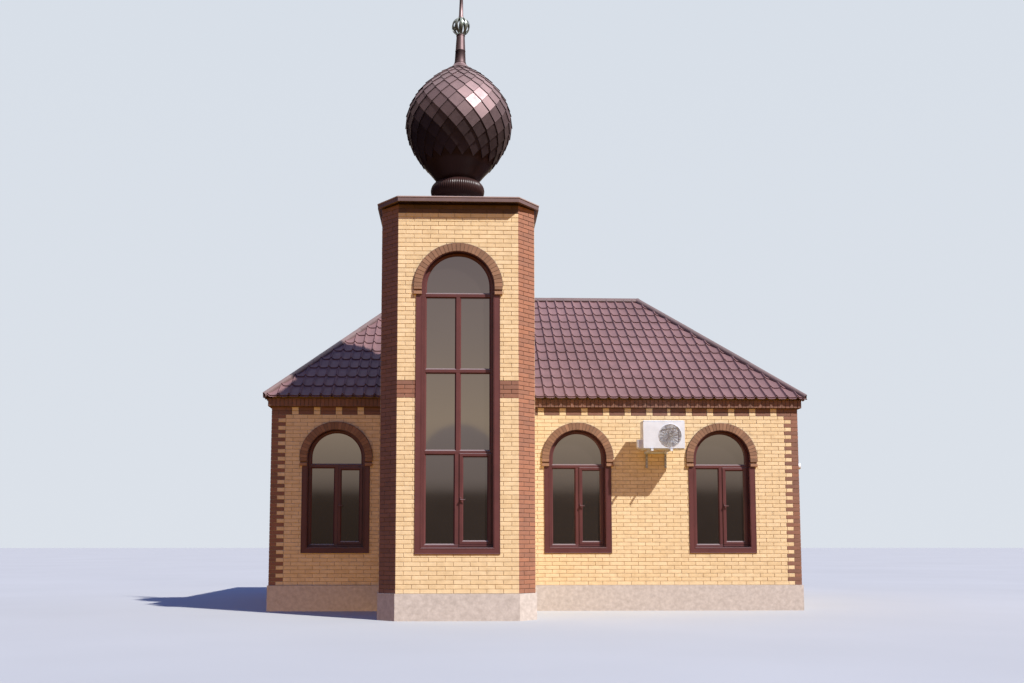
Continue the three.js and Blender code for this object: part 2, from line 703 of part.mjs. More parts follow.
function buildLamp() {
  const { y, z, radius, length } = LAMP;
  const { half, thickness } = LAMP_PLATE;
  const barrel = new THREE.CylinderGeometry(radius, radius, length, 20);
  barrel.rotateZ(Math.PI / 2).translate(HALL_RIGHT + length / 2 + thickness - 1, y, z);
  const plate = box([HALL_RIGHT, y - half, z - half], [HALL_RIGHT + thickness, y + half, z + half]);
  add("wall_lamp", join(barrel, plate), "unit_casing");
}

buildFoundations();
buildWalls();
buildFrontTrim();
buildTowerWalls();
buildWindows();
buildEntrance();
buildRoof();
buildTowerTop();
buildOutdoorUnit();
buildLamp();

const footFront = TOWER_FRONT - FASCIA_FRONT_OUT;
const footRear = HALL_DEPTH + PLINTH_OUT + LANDING + 2 * STEP_RUN;
house.position.set(-HALL_MIDDLE, -(footFront + footRear) / 2, 0);

export default house;
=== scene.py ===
import math
import random
from contextlib import contextmanager

import bmesh
import bpy
import numpy as np
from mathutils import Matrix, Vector


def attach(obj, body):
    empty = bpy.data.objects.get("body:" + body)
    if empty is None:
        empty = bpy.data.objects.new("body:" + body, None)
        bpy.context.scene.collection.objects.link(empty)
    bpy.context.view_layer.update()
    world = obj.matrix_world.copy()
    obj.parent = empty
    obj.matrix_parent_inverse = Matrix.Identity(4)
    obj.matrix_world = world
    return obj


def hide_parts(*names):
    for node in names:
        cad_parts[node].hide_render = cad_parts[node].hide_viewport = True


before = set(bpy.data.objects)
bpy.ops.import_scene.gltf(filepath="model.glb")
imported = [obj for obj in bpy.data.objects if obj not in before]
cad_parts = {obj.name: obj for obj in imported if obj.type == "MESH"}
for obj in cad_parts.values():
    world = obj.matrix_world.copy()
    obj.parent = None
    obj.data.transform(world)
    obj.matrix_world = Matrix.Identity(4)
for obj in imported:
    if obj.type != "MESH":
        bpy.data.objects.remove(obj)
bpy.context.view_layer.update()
rng = random.Random(11)
scene = bpy.context.scene

# Lengths are in metres. The part is drawn with X = 0 on the tower's axis, Y = 0 on the front
# wall's face and Z = 0 on the ground, and moved by OFFSET into the row frame.
OFFSET = np.array((-1.415, -3.5425, 0.0))

JOINT, BRICK, HEADER, BRICK_DEPTH = 0.007, 0.25, 0.12, 0.05
MORTAR_IN = 0.006
HALL_LEFT, HALL_RIGHT, HALL_DEPTH = -3.33, 6.16, 8.2
PLINTH_TOP, FRIEZE_TOP, CORNICE_TOP = 0.45, 3.6225, 3.7725
CORNICE_OUT, CORNICE_BRICK = 0.06, 0.065
HALL_COURSES = 46
HALL_COURSE = (FRIEZE_TOP - PLINTH_TOP) / HALL_COURSES

OVERHANG, EAVE_BOTTOM, ROOF_THICK, ROOF_RISE, HIP_RUN = 0.12, 3.775, 0.05, 2.75, 2.27
ROOF_LEFT, ROOF_RIGHT = HALL_LEFT - OVERHANG, HALL_RIGHT + OVERHANG
ROOF_FRONT, ROOF_REAR = -OVERHANG, HALL_DEPTH + OVERHANG
RIDGE_Y = HALL_DEPTH / 2
FRONT_SLOPE = ROOF_RISE / (RIDGE_Y + OVERHANG)
SIDE_SLOPE = ROOF_RISE / HIP_RUN
EAVE_TOP = EAVE_BOTTOM + ROOF_THICK
WAVE, WAVE_PHASE = 0.1905, 1.556

TOWER_HALF, TOWER_CHAMFER, TOWER_FRONT, TOWER_REAR = 1.226, 0.274, -2.48, 0.25
TOWER_MIDDLE = (TOWER_FRONT + TOWER_REAR) / 2
TOWER_PLINTH_TOP, TOWER_TOP, TOWER_COURSES = 0.415, 6.5485, 89
TOWER_COURSE = (TOWER_TOP - TOWER_PLINTH_TOP) / TOWER_COURSES
# The courses of the brown band beside the tower's window, and how many at a wall's top are brown
TOWER_BAND, TRIM = range(44, 48), 2
TOWER_TRIM = range(TOWER_COURSES - TRIM, TOWER_COURSES)
HALL_ROOF_MEETS_TOWER = 3.8
CAP_SIDE_OUT, CAP_FRONT_OUT, CAP_CHAMFER = 0.072, 0.155, (0.345, 0.42)

SILL, CASING, CASING_OUT, RECESS, FRAME_DEPTH = 1.11, 0.095, 0.015, 0.095, 0.07
FRAME_BACK = RECESS + FRAME_DEPTH
ARCH_BRICK, ARCH_OUT = 0.135, 0.035
HALL_WINDOW = {"half": 0.508, "spring": 2.706, "corbel": 2.565, "rise": 0.016, "bricks": 29,
               "transoms": [2.57], "mullion": (-0.03, 0.05)}
TOWER_WINDOW = {"half": 0.566, "spring": 5.214, "corbel": 5.09, "rise": 0.03, "bricks": 31,
                "transoms": [2.602, 3.889, 5.1], "mullion": (-0.045, 0.045)}
ENTRANCE_SILL = 0.5


# Gathering closed shapes into one mesh
class Gather:
    def __init__(self):
        self.points, self.faces, self.slots, self.tones = [], [], [], []

    def add(self, points, faces, slot=0, tone=None):
        start = len(self.points)
        self.points.extend(tuple(p) for p in points)
        self.faces.extend(tuple(start + i for i in f) for f in faces)
        self.slots.extend([slot] * len(faces))
        tone = tone or (rng.random(), rng.random(), rng.random(), 1.0)
        self.tones.extend([tone] * len(points))

    @contextmanager
    def toned(self, low, high):
        """Fits the tones of what is added inside between low and high."""
        start = len(self.tones)
        yield
        self.tones[start:] = [(low + (high - low) * t[0], *t[1:]) for t in self.tones[start:]]


def finish_piece(obj, materials, nodes=(), smooth=None):
    for m in materials:
        obj.data.materials.append(m)
    if smooth is not None:
        obj.data.shade_smooth()
        obj.data.set_sharp_from_angle(angle=math.radians(smooth))
    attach(obj, "root")
    if nodes:
        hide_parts(*nodes)
    return obj


def linked(name, mesh):
    obj = bpy.data.objects.new(name, mesh)
    scene.collection.objects.link(obj)
    return obj


def from_bmesh(name, bm):
    mesh = bpy.data.meshes.new(name)
    bm.to_mesh(mesh)
    bm.free()
    return linked(name, mesh)


def solid_of(node):
    """A copy of a solid's own mesh, with its shared corners merged."""
    bm = bmesh.new()
    bm.from_mesh(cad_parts[node].data)
    bmesh.ops.remove_doubles(bm, verts=bm.verts, dist=1e-5)
    return bm


def set_tones(mesh, tones):
    """Stores four numbers for each point, which the materials read as tones."""
    attribute = mesh.attributes.new("tone", "FLOAT_COLOR", "POINT")
    attribute.data.foreach_set("color", np.asarray(tones, np.float32).ravel())


def make(name, gather, materials, nodes=(), smooth=None, recalc=True):
    mesh = bpy.data.meshes.new(name)
    points = np.array(gather.points) + OFFSET
    mesh.from_pydata(points.tolist(), [], gather.faces)
    mesh.polygons.foreach_set("material_index", gather.slots)
    set_tones(mesh, gather.tones)
    if recalc:
        bm = bmesh.new()
        bm.from_mesh(mesh)
        bmesh.ops.recalc_face_normals(bm, faces=bm.faces)
        bm.to_mesh(mesh)
        bm.free()
    return finish_piece(linked(name, mesh), materials, nodes, smooth)


# Places: a face of the building has local X along it, Y into it and Z up, from plan point p0 to p1
def face(p0, p1):
    p0, p1 = np.array(p0, float), np.array(p1, float)
    length = float(np.linalg.norm(p1 - p0))
    along = (p1 - p0) / length
    inward = np.array((-along[1], along[0]))

    def place(points):
        pts = np.asarray(points, float).reshape(-1, 3)
        return np.column_stack((p0 + pts[:, :1] * along + pts[:, 1:2] * inward, pts[:, 2]))

    return place, length


FRONT, FRONT_LENGTH = face((HALL_LEFT, 0), (HALL_RIGHT, 0))
RIGHT, SIDE_LENGTH = face((HALL_RIGHT, 0), (HALL_RIGHT, HALL_DEPTH))
REAR, _ = face((HALL_RIGHT, HALL_DEPTH), (HALL_LEFT, HALL_DEPTH))
LEFT, _ = face((HALL_LEFT, HALL_DEPTH), (HALL_LEFT, 0))
TOWER, _ = face((-TOWER_HALF, TOWER_FRONT), (TOWER_HALF, TOWER_FRONT))


def moved(place, along):
    return lambda points: place(np.asarray(points, float).reshape(-1, 3) + (along, 0, 0))


def as_drawn(points):
    """The place of shapes that are drawn where they stand."""
    return np.asarray(points, float)


# Shapes
THINNEST = 1e-4


def on_circle(centre, radius, angle):
    return centre[0] + radius * math.cos(angle), centre[1] + radius * math.sin(angle)


def arc(centre, radius, start, end, steps):
    """Points on a circle from one angle to another."""
    return [on_circle(centre, radius, start + (end - start) * i / steps) for i in range(steps + 1)]


def circle(centre, radius, sides):
    return arc(centre, radius, 0, 2 * math.pi, sides)[:-1]


def ring_faces(count, rings, loop=False):
    """Faces between rings of count points. A loop joins the last ring to the first, and otherwise
    both ends are filled."""
    faces = []
    for k in range(rings if loop else rings - 1):
        low, high = k * count, (k + 1) % rings * count
        for i in range(count):
            j = (i + 1) % count
            faces.append((low + i, low + j, high + j, high + i))
    if not loop:
        faces += [tuple(range(count))[::-1], tuple((rings - 1) * count + i for i in range(count))]
    return faces


def block(g, place, x0, x1, z0, z1, y0, y1, bevel=0.0035, slot=0, tone=None, corners=None):
    """A block with its front edges bevelled. corners(x, z) may bend it into a wedge."""
    rings = []
    for y, inset in ((y0, bevel), (y0 + bevel, 0.0), (y1, 0.0)):
        ring = rectangle(x0 + inset, x1 - inset, z0 + inset, z1 - inset)
        rings += [(*(corners(x, z) if corners else (x, z)), y) for x, z in ring]
    points = [(x, y, z) for x, z, y in rings]
    faces = [(0, 1, 2, 3), (11, 10, 9, 8)]
    for i in range(4):
        j = (i + 1) % 4
        faces += [(4 + i, 4 + j, j, i), (8 + i, 8 + j, 4 + j, 4 + i)]
    g.add(place(points), faces, slot, tone)


def sweep(g, place, path, profile, closed=False, slot=0):
    """A profile (outward, depth) carried along a path (x, z), counter-clockwise seen from outside."""
    n = len(path)
    points = []
    for i, p in enumerate(path):
        before = path[i - 1] if closed or i else None
        after = path[(i + 1) % n] if closed or i < n - 1 else None
        normals = []
        for a, b in ((before, p), (p, after)):
            if a is not None and b is not None:
                d = np.subtract(b, a) / np.linalg.norm(np.subtract(b, a))
                normals.append(np.array((d[1], -d[0])))
        side = sum(normals) / (1 + (normals[0] @ normals[-1] if len(normals) == 2 else 0))
        points += [(p[0] + a * side[0], y, p[1] + a * side[1]) for a, y in profile]
    g.add(place(points), ring_faces(len(profile), n, closed), slot)


def rectangle(x0, x1, z0, z1):
    return [(x0, z0), (x1, z0), (x1, z1), (x0, z1)]


def arch_path(half, bottom, spring):
    return [(-half, bottom), (half, bottom)] + arc((0, spring), half, 0, math.pi, 28)


def plan_loft(g, rings, slot=0):
    """Plan outlines with as many corners each, one above the other, closed at both ends."""
    points = [(x, y, z) for outline, z in rings for x, y in outline]
    g.add(points, ring_faces(len(rings[0][0]), len(rings)), slot)


def lathe(g, profile, centre, sides=48, slot=0, wobble=None, axis=2):
    """A turned shape, closed at both ends. Its profile gives radii and places along the axis, which
    lies at centre in the other two directions. wobble(angle, place) scales the radius."""
    points = []
    for radius, along in profile:
        for i in range(sides):
            angle = 2 * math.pi * i / sides
            scale = wobble(angle, along) if wobble else 1
            point = list(on_circle(centre, max(radius, THINNEST) * scale, angle))
            point.insert(axis, along)
            points.append(point)
    g.add(points, ring_faces(sides, len(profile)), slot)


# Materials
class Tree:
    """Short ways to add nodes to a node tree."""

    def __init__(self, tree):
        self.tree = tree

    def new(self, kind, **settings):
        node = self.tree.nodes.new(kind)
        for key, value in settings.items():
            setattr(node, key, value)
        return node

    def link(self, a, b):
        self.tree.links.new(a, b)

    def ramp(self, value, stops):
        node = self.new("ShaderNodeValToRGB")
        ramp = node.color_ramp
        for element, (at, colour) in zip(ramp.elements[:], (stops[0], stops[-1])):
            element.position, element.color = at, (*colour, 1)
        for at, colour in stops[1:-1]:
            ramp.elements.new(at).color = (*colour, 1)
        self.link(value, node.inputs[0])
        return node.outputs[0]

    def mix(self, a, b, factor, blend="MIX"):
        node = self.new("ShaderNodeMix", data_type="RGBA", blend_type=blend)
        for socket, value in ((node.inputs[0], factor), (node.inputs[6], a), (node.inputs[7], b)):
            if isinstance(value, bpy.types.NodeSocket):
                self.link(value, socket)
            else:
                socket.default_value = value if isinstance(value, float) else (*value, 1)
        return node.outputs[2]

    def times(self, a, b):
        return self.mix(a, b, 1.0, "MULTIPLY")

    def remap(self, value, a, b, c, d):
        node = self.new("ShaderNodeMapRange")
        for i, number in enumerate((a, b, c, d)):
            node.inputs[i + 1].default_value = number
        self.link(value, node.inputs[0])
        return node.outputs[0]

    def axis(self, vector, index):
        split = self.new("ShaderNodeSeparateXYZ")
        self.link(vector, split.inputs[0])
        return split.outputs[index]


class Paint(Tree):
    """A material with one shader."""

    def __init__(self, name):
        self.material = bpy.data.materials.new(name)
        self.material.use_nodes = True
        super().__init__(self.material.node_tree)
        self.tree.nodes.clear()
        output = self.new("ShaderNodeOutputMaterial")
        self.shader = self.new("ShaderNodeBsdfPrincipled")
        self.link(self.shader.outputs[0], output.inputs[0])
        self.coords = self.new("ShaderNodeTexCoord").outputs["Object"]

    def noise(self, scale, detail=4.0, rough=0.6):
        node = self.new("ShaderNodeTexNoise")
        for key, value in (("Scale", scale), ("Detail", detail), ("Roughness", rough)):
            node.inputs[key].default_value = value
        self.link(self.coords, node.inputs["Vector"])
        return node.outputs["Fac"]

    def tone(self):
        attribute = self.new("ShaderNodeAttribute", attribute_name="tone")
        split = self.new("ShaderNodeSeparateColor")
        self.link(attribute.outputs["Color"], split.inputs[0])
        return split.outputs[0]

    def upness(self, low, high):
        """0 where a surface's normal has less than low of the way up in it, and 1 above high."""
        return self.remap(self.axis(self.new("ShaderNodeNewGeometry").outputs["Normal"], 2), low, high, 0, 1)

    def bump(self, height, strength, distance):
        node = self.new("ShaderNodeBump")
        node.inputs["Strength"].default_value = strength
        node.inputs["Distance"].default_value = distance
        self.link(height, node.inputs["Height"])
        self.link(node.outputs[0], self.shader.inputs["Normal"])

    def done(self, colour, roughness, **fixed):
        self.link(colour, self.shader.inputs["Base Color"])
        if isinstance(roughness, float):
            self.shader.inputs["Roughness"].default_value = roughness
        else:
            self.link(roughness, self.shader.inputs["Roughness"])
        for key, value in fixed.items():
            self.shader.inputs[key.replace("_", " ")].default_value = value
        return self.material


def grey(value):
    return (value, value, value)


def brick_material(name, dark, middle, light):
    n = Paint(name)
    base = n.ramp(n.tone(), [(0.0, dark), (0.5, middle), (1.0, light)])
    blotch = n.ramp(n.noise(9.0, 5.0), [(0.3, (0.88, 0.86, 0.84)), (0.7, grey(1.06))])
    grains = [(0.25, (0.8, 0.78, 0.76)), (0.5, grey(1.0)), (0.8, (1.08, 1.08, 1.06))]
    speck = n.ramp(n.noise(420.0, 2.0), grains)
    n.bump(n.noise(260.0, 5.0, 0.7), 0.35, 0.0015)
    return n.done(n.times(n.times(base, blotch), speck), n.remap(n.noise(40.0), 0, 1, 0.72, 0.95))


BEHIND_BROWN = (0.12, 0.072, 0.05)


def plaster_material(name, dark, light, scale=14.0, bump=0.4, brown_rows=False):
    """Rough mineral stuff. With brown_rows it darkens at the heights where the bricks are brown."""
    n = Paint(name)
    cloud = n.ramp(n.noise(scale, 8.0, 0.65), [(0.3, dark), (0.7, light)])
    colour = n.times(cloud, n.ramp(n.noise(300.0, 3.0), [(0.3, grey(0.84)), (0.6, grey(1.04))]))
    if brown_rows:
        height = n.axis(n.coords, 2)
        hall, tower = FRIEZE_TOP - TRIM * HALL_COURSE, TOWER_TOP - TRIM * TOWER_COURSE
        for low, high in ((hall, CORNICE_TOP), (tower, TOWER_TOP)):
            inside = n.new("ShaderNodeMath", operation="COMPARE")
            inside.inputs[1].default_value = (low + high) / 2
            inside.inputs[2].default_value = (high - low) / 2
            n.link(height, inside.inputs[0])
            colour = n.mix(colour, BEHIND_BROWN, inside.outputs[0])
    n.bump(n.noise(190.0, 6.0, 0.7), bump, 0.002)
    return n.done(colour, n.remap(n.noise(25.0), 0, 1, 0.78, 0.96))


def painted_material(name, dark, light, roughness, grain, bump, painted_highlight=None, painted_shade_by_facing=None, **fixed):
    """Paint with faint clouding and grain. A colour given for what faces up is a painted highlight on upward
    faces.
    A pair given for facing down and up sets how bright the paint is there: painted shade below, painted light
    above."""
    n = Paint(name)
    base = n.ramp(n.tone(), [(0.0, dark), (1.0, light)])
    cloud = n.ramp(n.noise(3.0, 6.0, 0.6), [(0.3, (0.86, 0.86, 0.87)), (0.7, (1.1, 1.08, 1.08))])
    fine = n.ramp(n.noise(grain, 2.0), [(0.3, grey(0.92)), (0.7, grey(1.06))])
    colour = n.times(n.times(base, cloud), fine)
    # Painted highlight: a lighter colour on faces that look up.
    if painted_highlight:
        colour = n.mix(colour, painted_highlight, n.upness(0.45, 0.6))
    # Painted shade on faces that look down and painted light on those that look up.
    if painted_shade_by_facing:
        stops = [(0.0, grey(painted_shade_by_facing[0])), (1.0, grey(painted_shade_by_facing[1]))]
        colour = n.times(colour, n.ramp(n.upness(-0.3, 0.6), stops))
    n.bump(n.noise(grain, 3.0), bump, 0.0006)
    return n.done(colour, n.remap(n.noise(11.0, 5.0), 0, 1, roughness * 0.75, roughness * 1.3), **fixed)


def glass_material():
    n = Paint("window glass")
    colour = n.ramp(n.noise(0.7, 3.0), [(0.35, (0.012, 0.009, 0.008)), (0.7, (0.018, 0.014, 0.012))])
    n.bump(n.noise(1.3, 2.0), 0.05, 0.004)
    return n.done(colour, n.remap(n.noise(5.0), 0, 1, 0.015, 0.05), IOR=3.3)


STRAW = brick_material("straw brick", (0.705, 0.53, 0.3), (0.735, 0.562, 0.33), (0.765, 0.595, 0.36))
BROWN = brick_material("brown brick", (0.09, 0.05, 0.038), (0.225, 0.11, 0.074), (0.35, 0.15, 0.085))
ARCH = brick_material("arch brick", (0.2, 0.108, 0.062), (0.245, 0.13, 0.074), (0.315, 0.17, 0.098))
MORTAR = plaster_material("mortar", (0.42, 0.3, 0.18), (0.52, 0.38, 0.23), 60.0, 0.6, brown_rows=True)
DARK_MORTAR = plaster_material("dark mortar", (0.1, 0.06, 0.042), (0.15, 0.09, 0.062), 60.0, 0.6)
RENDERING = plaster_material("plinth render", (0.42, 0.37, 0.33), (0.6, 0.54, 0.49))
SCREED = plaster_material("floor screed", (0.3, 0.28, 0.26), (0.4, 0.38, 0.35))
TILE = painted_material("roof sheet", (0.17, 0.097, 0.095), (0.21, 0.122, 0.12), 0.5, 900.0, 0.3, IOR=1.15)
SHEET = painted_material("folded sheet", (0.135, 0.088, 0.083), (0.165, 0.108, 0.102), 0.4, 500.0, 0.1)
# A lighter colour for the cap's drip edge: a painted highlight along the cap's top.
EDGE_HIGHLIGHT = painted_material("drip edge painted highlight", (0.34, 0.26, 0.24), (0.41, 0.31, 0.29), 0.4, 500.0, 0.1)
# The frame's pale colour on its upward faces is a painted highlight along the tops of its bars.
FRAME = painted_material("window frame", (0.1, 0.033, 0.032), (0.118, 0.04, 0.038), 0.32, 300.0, 0.05,
                         painted_highlight=(0.19, 0.14, 0.14))
# The dome's plates are painted darker where they face down and lighter where they face up: painted shade and
# dark reflection below, painted light above.
DOME = painted_material("dome plates", (0.185, 0.127, 0.132), (0.235, 0.163, 0.17), 0.5, 500.0, 0.06,
                        painted_shade_by_facing=(0.5, 1.15), Metallic=0.9, Coat_Weight=0.1, Coat_Roughness=0.4)
# Near-black paint standing in for shade and dark reflections: on the dome's neck, the ring and a plate under
# the tower cap.
NECK_SHADE = painted_material("dome neck painted shade", (0.026, 0.011, 0.01), (0.038, 0.017, 0.015), 0.32, 500.0, 0.06, IOR=1.35)
FINIAL = painted_material("finial", (0.2, 0.25, 0.22), (0.32, 0.37, 0.33), 0.3, 400.0, 0.1, Metallic=0.7)
CASE = painted_material("unit casing", (0.64, 0.67, 0.7), (0.7, 0.73, 0.77), 0.4, 500.0, 0.08)
WIRE = painted_material("guard wire", (0.24, 0.225, 0.215), (0.29, 0.275, 0.265), 0.4, 400.0, 0.1)
DARK = painted_material("dark plastic", (0.02, 0.02, 0.021), (0.035, 0.034, 0.034), 0.5, 400.0, 0.1)
STEEL = painted_material("zinc steel", (0.45, 0.44, 0.42), (0.6, 0.59, 0.56), 0.35, 300.0, 0.15, Metallic=0.8)
GLASS = glass_material()


# Masonry. Local X is along the wall from its left end.
SHORTEST_BRICK, SHORTEST_STRETCH, HEADER_ROOM = 0.05, 0.02, 0.03
BEHIND_CASING, INSIDE_ARCH, UNDER_ARCH = 0.03, 0.004, 0.012
# The cornice's tones keep to the darker part of the range: partly painted shade from the eave.
QUOIN_TONES, FRIEZE_TONES, CORNICE_SHADE_TONES = (0.4, 0.72), (0.3, 0.55), (0.3, 0.5)
# The darkest tone is painted shade in the set-back slit under an arch's last bricks.
SLIT_SHADE_TONE, LIGHTEST = (0.0, 0.5, 0.5, 1), (1.0, 0.5, 0.5, 1)
TOWER_SPAN = (-TOWER_HALF - HALL_LEFT, TOWER_HALF - HALL_LEFT)
REAR_MIDDLE = FRONT_LENGTH / 2
FRONT_NAMES, FRONT_X = ("left", "middle", "right"), [x - HALL_LEFT for x in (-2.17, 2.15, 4.755)]
RIGHT_X = [2.15, 6.05]
LEFT_X = [SIDE_LENGTH - x for x in RIGHT_X]
REAR_X = [REAR_MIDDLE - 3.1, REAR_MIDDLE + 3.1]


def headers(first, pitch, count, half=0.0575):
    """The middles and half widths of straw headers in a frieze."""
    return [(first + pitch * k, half) for k in range(count)]


def plain_frieze(length):
    pitch = 0.387
    count = round((length - 0.8) / pitch)
    return headers((length - pitch * (count - 1)) / 2, pitch, count)


LEFT_FRIEZE = headers(-2.91 - HALL_LEFT, 0.389, 4)
RIGHT_FRIEZE = headers(1.494 - HALL_LEFT, 0.393, 6)
RIGHT_FRIEZE += [(3.812 - HALL_LEFT, 0.028)] + headers(4.177 - HALL_LEFT, 0.386, 5)


def brick_edges(start, end, course, phase):
    pitch = BRICK + JOINT
    x = phase + (pitch / 2 if course % 2 else 0)
    x += math.ceil((start + SHORTEST_BRICK - x) / pitch) * pitch
    edges = [start]
    while x < end - SHORTEST_BRICK:
        edges.append(x)
        x += pitch
    return edges + [end]


def hole_at(hole, z0, z1):
    """How far an opening and its arch reach either side of its middle over one course, or None."""
    half, spring = hole["half"], hole["spring"]
    if z1 <= hole["sill"] or z0 >= spring + half + ARCH_BRICK:
        return None
    if z0 < spring:
        return half + BEHIND_CASING
    inner, outer = half + INSIDE_ARCH, half + ARCH_BRICK - UNDER_ARCH
    need = math.sqrt(max(0.0, inner**2 - (z0 - spring) ** 2))
    room = math.sqrt(max(0.0, outer**2 - (z1 - spring) ** 2))
    if need == 0 and room == 0:
        return None
    return max(need, min(room, (need + room) / 2))


def stretches(start, end, holes, z0, z1):
    """What the openings leave of a course."""
    spans = [(start, end)]
    for hole in holes:
        reach = hole_at(hole, z0, z1)
        if reach is None:
            continue
        a, b = hole["x"] - reach, hole["x"] + reach
        parts = []
        for s, e in spans:
            parts += [(s, e)] if b <= s or a >= e else [(s, a), (b, e)]
        spans = [(s, e) for s, e in parts if e - s > SHORTEST_STRETCH]
    return spans


def lay_course(g, place, spans, course, z0, z1, phase):
    for s, e in spans:
        edges = brick_edges(s, e, course, phase)
        for a, b in zip(edges, edges[1:]):
            left = 0 if a == s else JOINT / 2
            right = 0 if b == e else JOINT / 2
            block(g, place, a + left, b - right, z0, z1, rng.uniform(-0.0012, 0.0006), BRICK_DEPTH)


def lay_frieze(g, place, s, e, z0, z1, frieze):
    """Brown bricks with straw headers between them."""
    x = s
    for middle, half in frieze:
        if middle - half < x + HEADER_ROOM or middle + half > e - HEADER_ROOM:
            continue
        block(g["brown"], place, x, middle - half - JOINT, z0, z1, 0.0, BRICK_DEPTH)
        block(g["straw"], place, middle - half, middle + half, z0, z1, -0.001, BRICK_DEPTH)
        x = middle + half + JOINT
    block(g["brown"], place, x, e, z0, z1, 0.0, BRICK_DEPTH)


def lay_wall(g, place, start, end, low, courses, pitch, colour_of, holes=(), ends=(None, None), phase=0.0,
             frieze=None):
    """Courses of bricks. ends says on which courses (0 even, 1 odd) a corner's long brick lies here."""
    for c in range(courses):
        z0 = low + c * pitch + JOINT / 2
        z1 = z0 + pitch - JOINT
        inner = [start, end]
        for i, sign in ((0, 1), (1, -1)):
            if ends[i] is None:
                continue
            corner = inner[i]
            far = corner + sign * (BRICK if c % 2 == ends[i] else HEADER)
            inner[i] = far + sign * JOINT
            if c % 2 == ends[i]:
                with g["brown"].toned(*QUOIN_TONES):
                    block(g["brown"], place, min(corner, far), max(corner, far), z0, z1, 0.0, HEADER)
        if frieze and c >= courses - TRIM:
            with g["brown"].toned(*FRIEZE_TONES):
                lay_frieze(g, place, *inner, z0, z1, frieze)
        else:
            lay_course(g[colour_of(c)], place, stretches(*inner, holes, z0, z1), c, z0, z1, phase)


def lay_arch(g, place, window):
    """Wedge bricks around an arch, drawn about its middle, down to the last brick at each end."""
    half, spring, corbel, count = (window[key] for key in ("half", "spring", "corbel", "bricks"))
    inner, outer, back = half + 0.008, half + ARCH_BRICK, RECESS - 0.002
    step = math.pi / count
    gap = JOINT / 2 / (step * outer)
    for i in range(count):

        def bend(share, radius, first=math.pi - i * step):
            return on_circle((0, spring), radius, first - step * share)

        out = rng.uniform(-0.001, 0.001) - ARCH_OUT
        block(g, place, gap, 1 - gap, inner, outer, out, back, bevel=0.003, corners=bend)
    mortar = rectangle(0.003, ARCH_BRICK - 0.002, 0.005 - ARCH_OUT, RECESS - 0.004)
    sweep(g, place, arc((0, spring), inner, 0, math.pi, 32), mortar, slot=1)
    end_top = corbel + 0.052
    for x0, x1 in ((-outer, -inner), (inner, outer)):
        block(g, place, x0, x1, end_top + 0.028, spring - 0.003, -ARCH_OUT, back)
        block(g, place, x0 - 0.001, x1 + 0.001, corbel + 0.0005, end_top, -ARCH_OUT - 0.008, back,
              tone=LIGHTEST)
        # A set-back block in the darkest tone: a painted shade slit above the flat end brick.
        block(g, place, x0 + 0.004, x1 - 0.004, end_top - 0.004, end_top + 0.032, 0.024 - ARCH_OUT,
              RECESS - 0.01, tone=SLIT_SHADE_TONE)


def lay_cornice(g, place, start, end):
    """Upright bricks standing out below the eave."""
    count = round((end - start) / (CORNICE_BRICK + JOINT))
    pitch = (end - start) / count
    # Darker tones for the cornice: partly painted shade from the eave.
    with g.toned(*CORNICE_SHADE_TONES):
        for i in range(count):
            a = start + i * pitch
            out = rng.uniform(-0.0015, 0.0015) - CORNICE_OUT
            block(g, place, a + JOINT / 2, a + pitch - JOINT / 2, FRIEZE_TOP + 0.004, CORNICE_TOP - 0.002,
                  out, 0.03, bevel=0.004)
        block(g, place, start, end, FRIEZE_TOP + 0.008, CORNICE_TOP - 0.004, 0.007 - CORNICE_OUT, 0.02,
              slot=1)


def openings(places, window, sill=SILL):
    return [{**window, "x": x, "sill": sill} for x in places]


def wall_core(node, squeeze):
    """The wall's own solid with its outer faces set back to the mortar's depth."""
    bm = solid_of(node)
    for v in bm.verts:
        x, y = squeeze(v.co.x - OFFSET[0], v.co.y - OFFSET[1])
        v.co.x, v.co.y = x + OFFSET[0], y + OFFSET[1]
    bmesh.ops.dissolve_degenerate(bm, dist=1e-5, edges=bm.edges)
    core = from_bmesh(node + "_mortar", bm)
    for side in core.data.polygons:
        side.material_index = int(abs(side.normal.x * side.normal.y) > 0.3)
    finish_piece(core, [MORTAR, DARK_MORTAR], [node])


def into_hall(x, y):
    m = MORTAR_IN
    return min(max(x, HALL_LEFT + m), HALL_RIGHT - m), min(max(y, m), HALL_DEPTH - m)


def octagon(half, front, rear, across, deep):
    """A plan outline whose corners are cut by across along X and deep along Y."""
    return [(-half, front + deep), (across - half, front), (half - across, front), (half, front + deep),
            (half, rear - deep), (half - across, rear), (across - half, rear), (-half, rear - deep)]


def tower_plan(out):
    leg = TOWER_CHAMFER + out * (2 - math.sqrt(2))
    return octagon(TOWER_HALF + out, TOWER_FRONT - out, TOWER_REAR + out, leg, leg)


def into_tower(x, y):
    m, near = MORTAR_IN, 1e-3
    for old, new in zip(tower_plan(0), tower_plan(-m)):
        if abs(x - old[0]) < near and abs(y - old[1]) < near:
            return new
    if abs(y - TOWER_REAR) < near:
        on_corner = abs(abs(x) - (TOWER_HALF - TOWER_REAR)) < near
        return (x - math.copysign(m * 0.414, x) if on_corner else x), y - m
    return min(max(x, m - TOWER_HALF), TOWER_HALF - m), max(y, TOWER_FRONT + m)


def bricks(name, parts):
    for colour, material in (("straw", STRAW), ("brown", BROWN)):
        if parts[colour].points:
            make(f"{name}_{colour}_bricks", parts[colour], [material, MORTAR],
                 recalc=False)


def fresh():
    return {"straw": Gather(), "brown": Gather()}


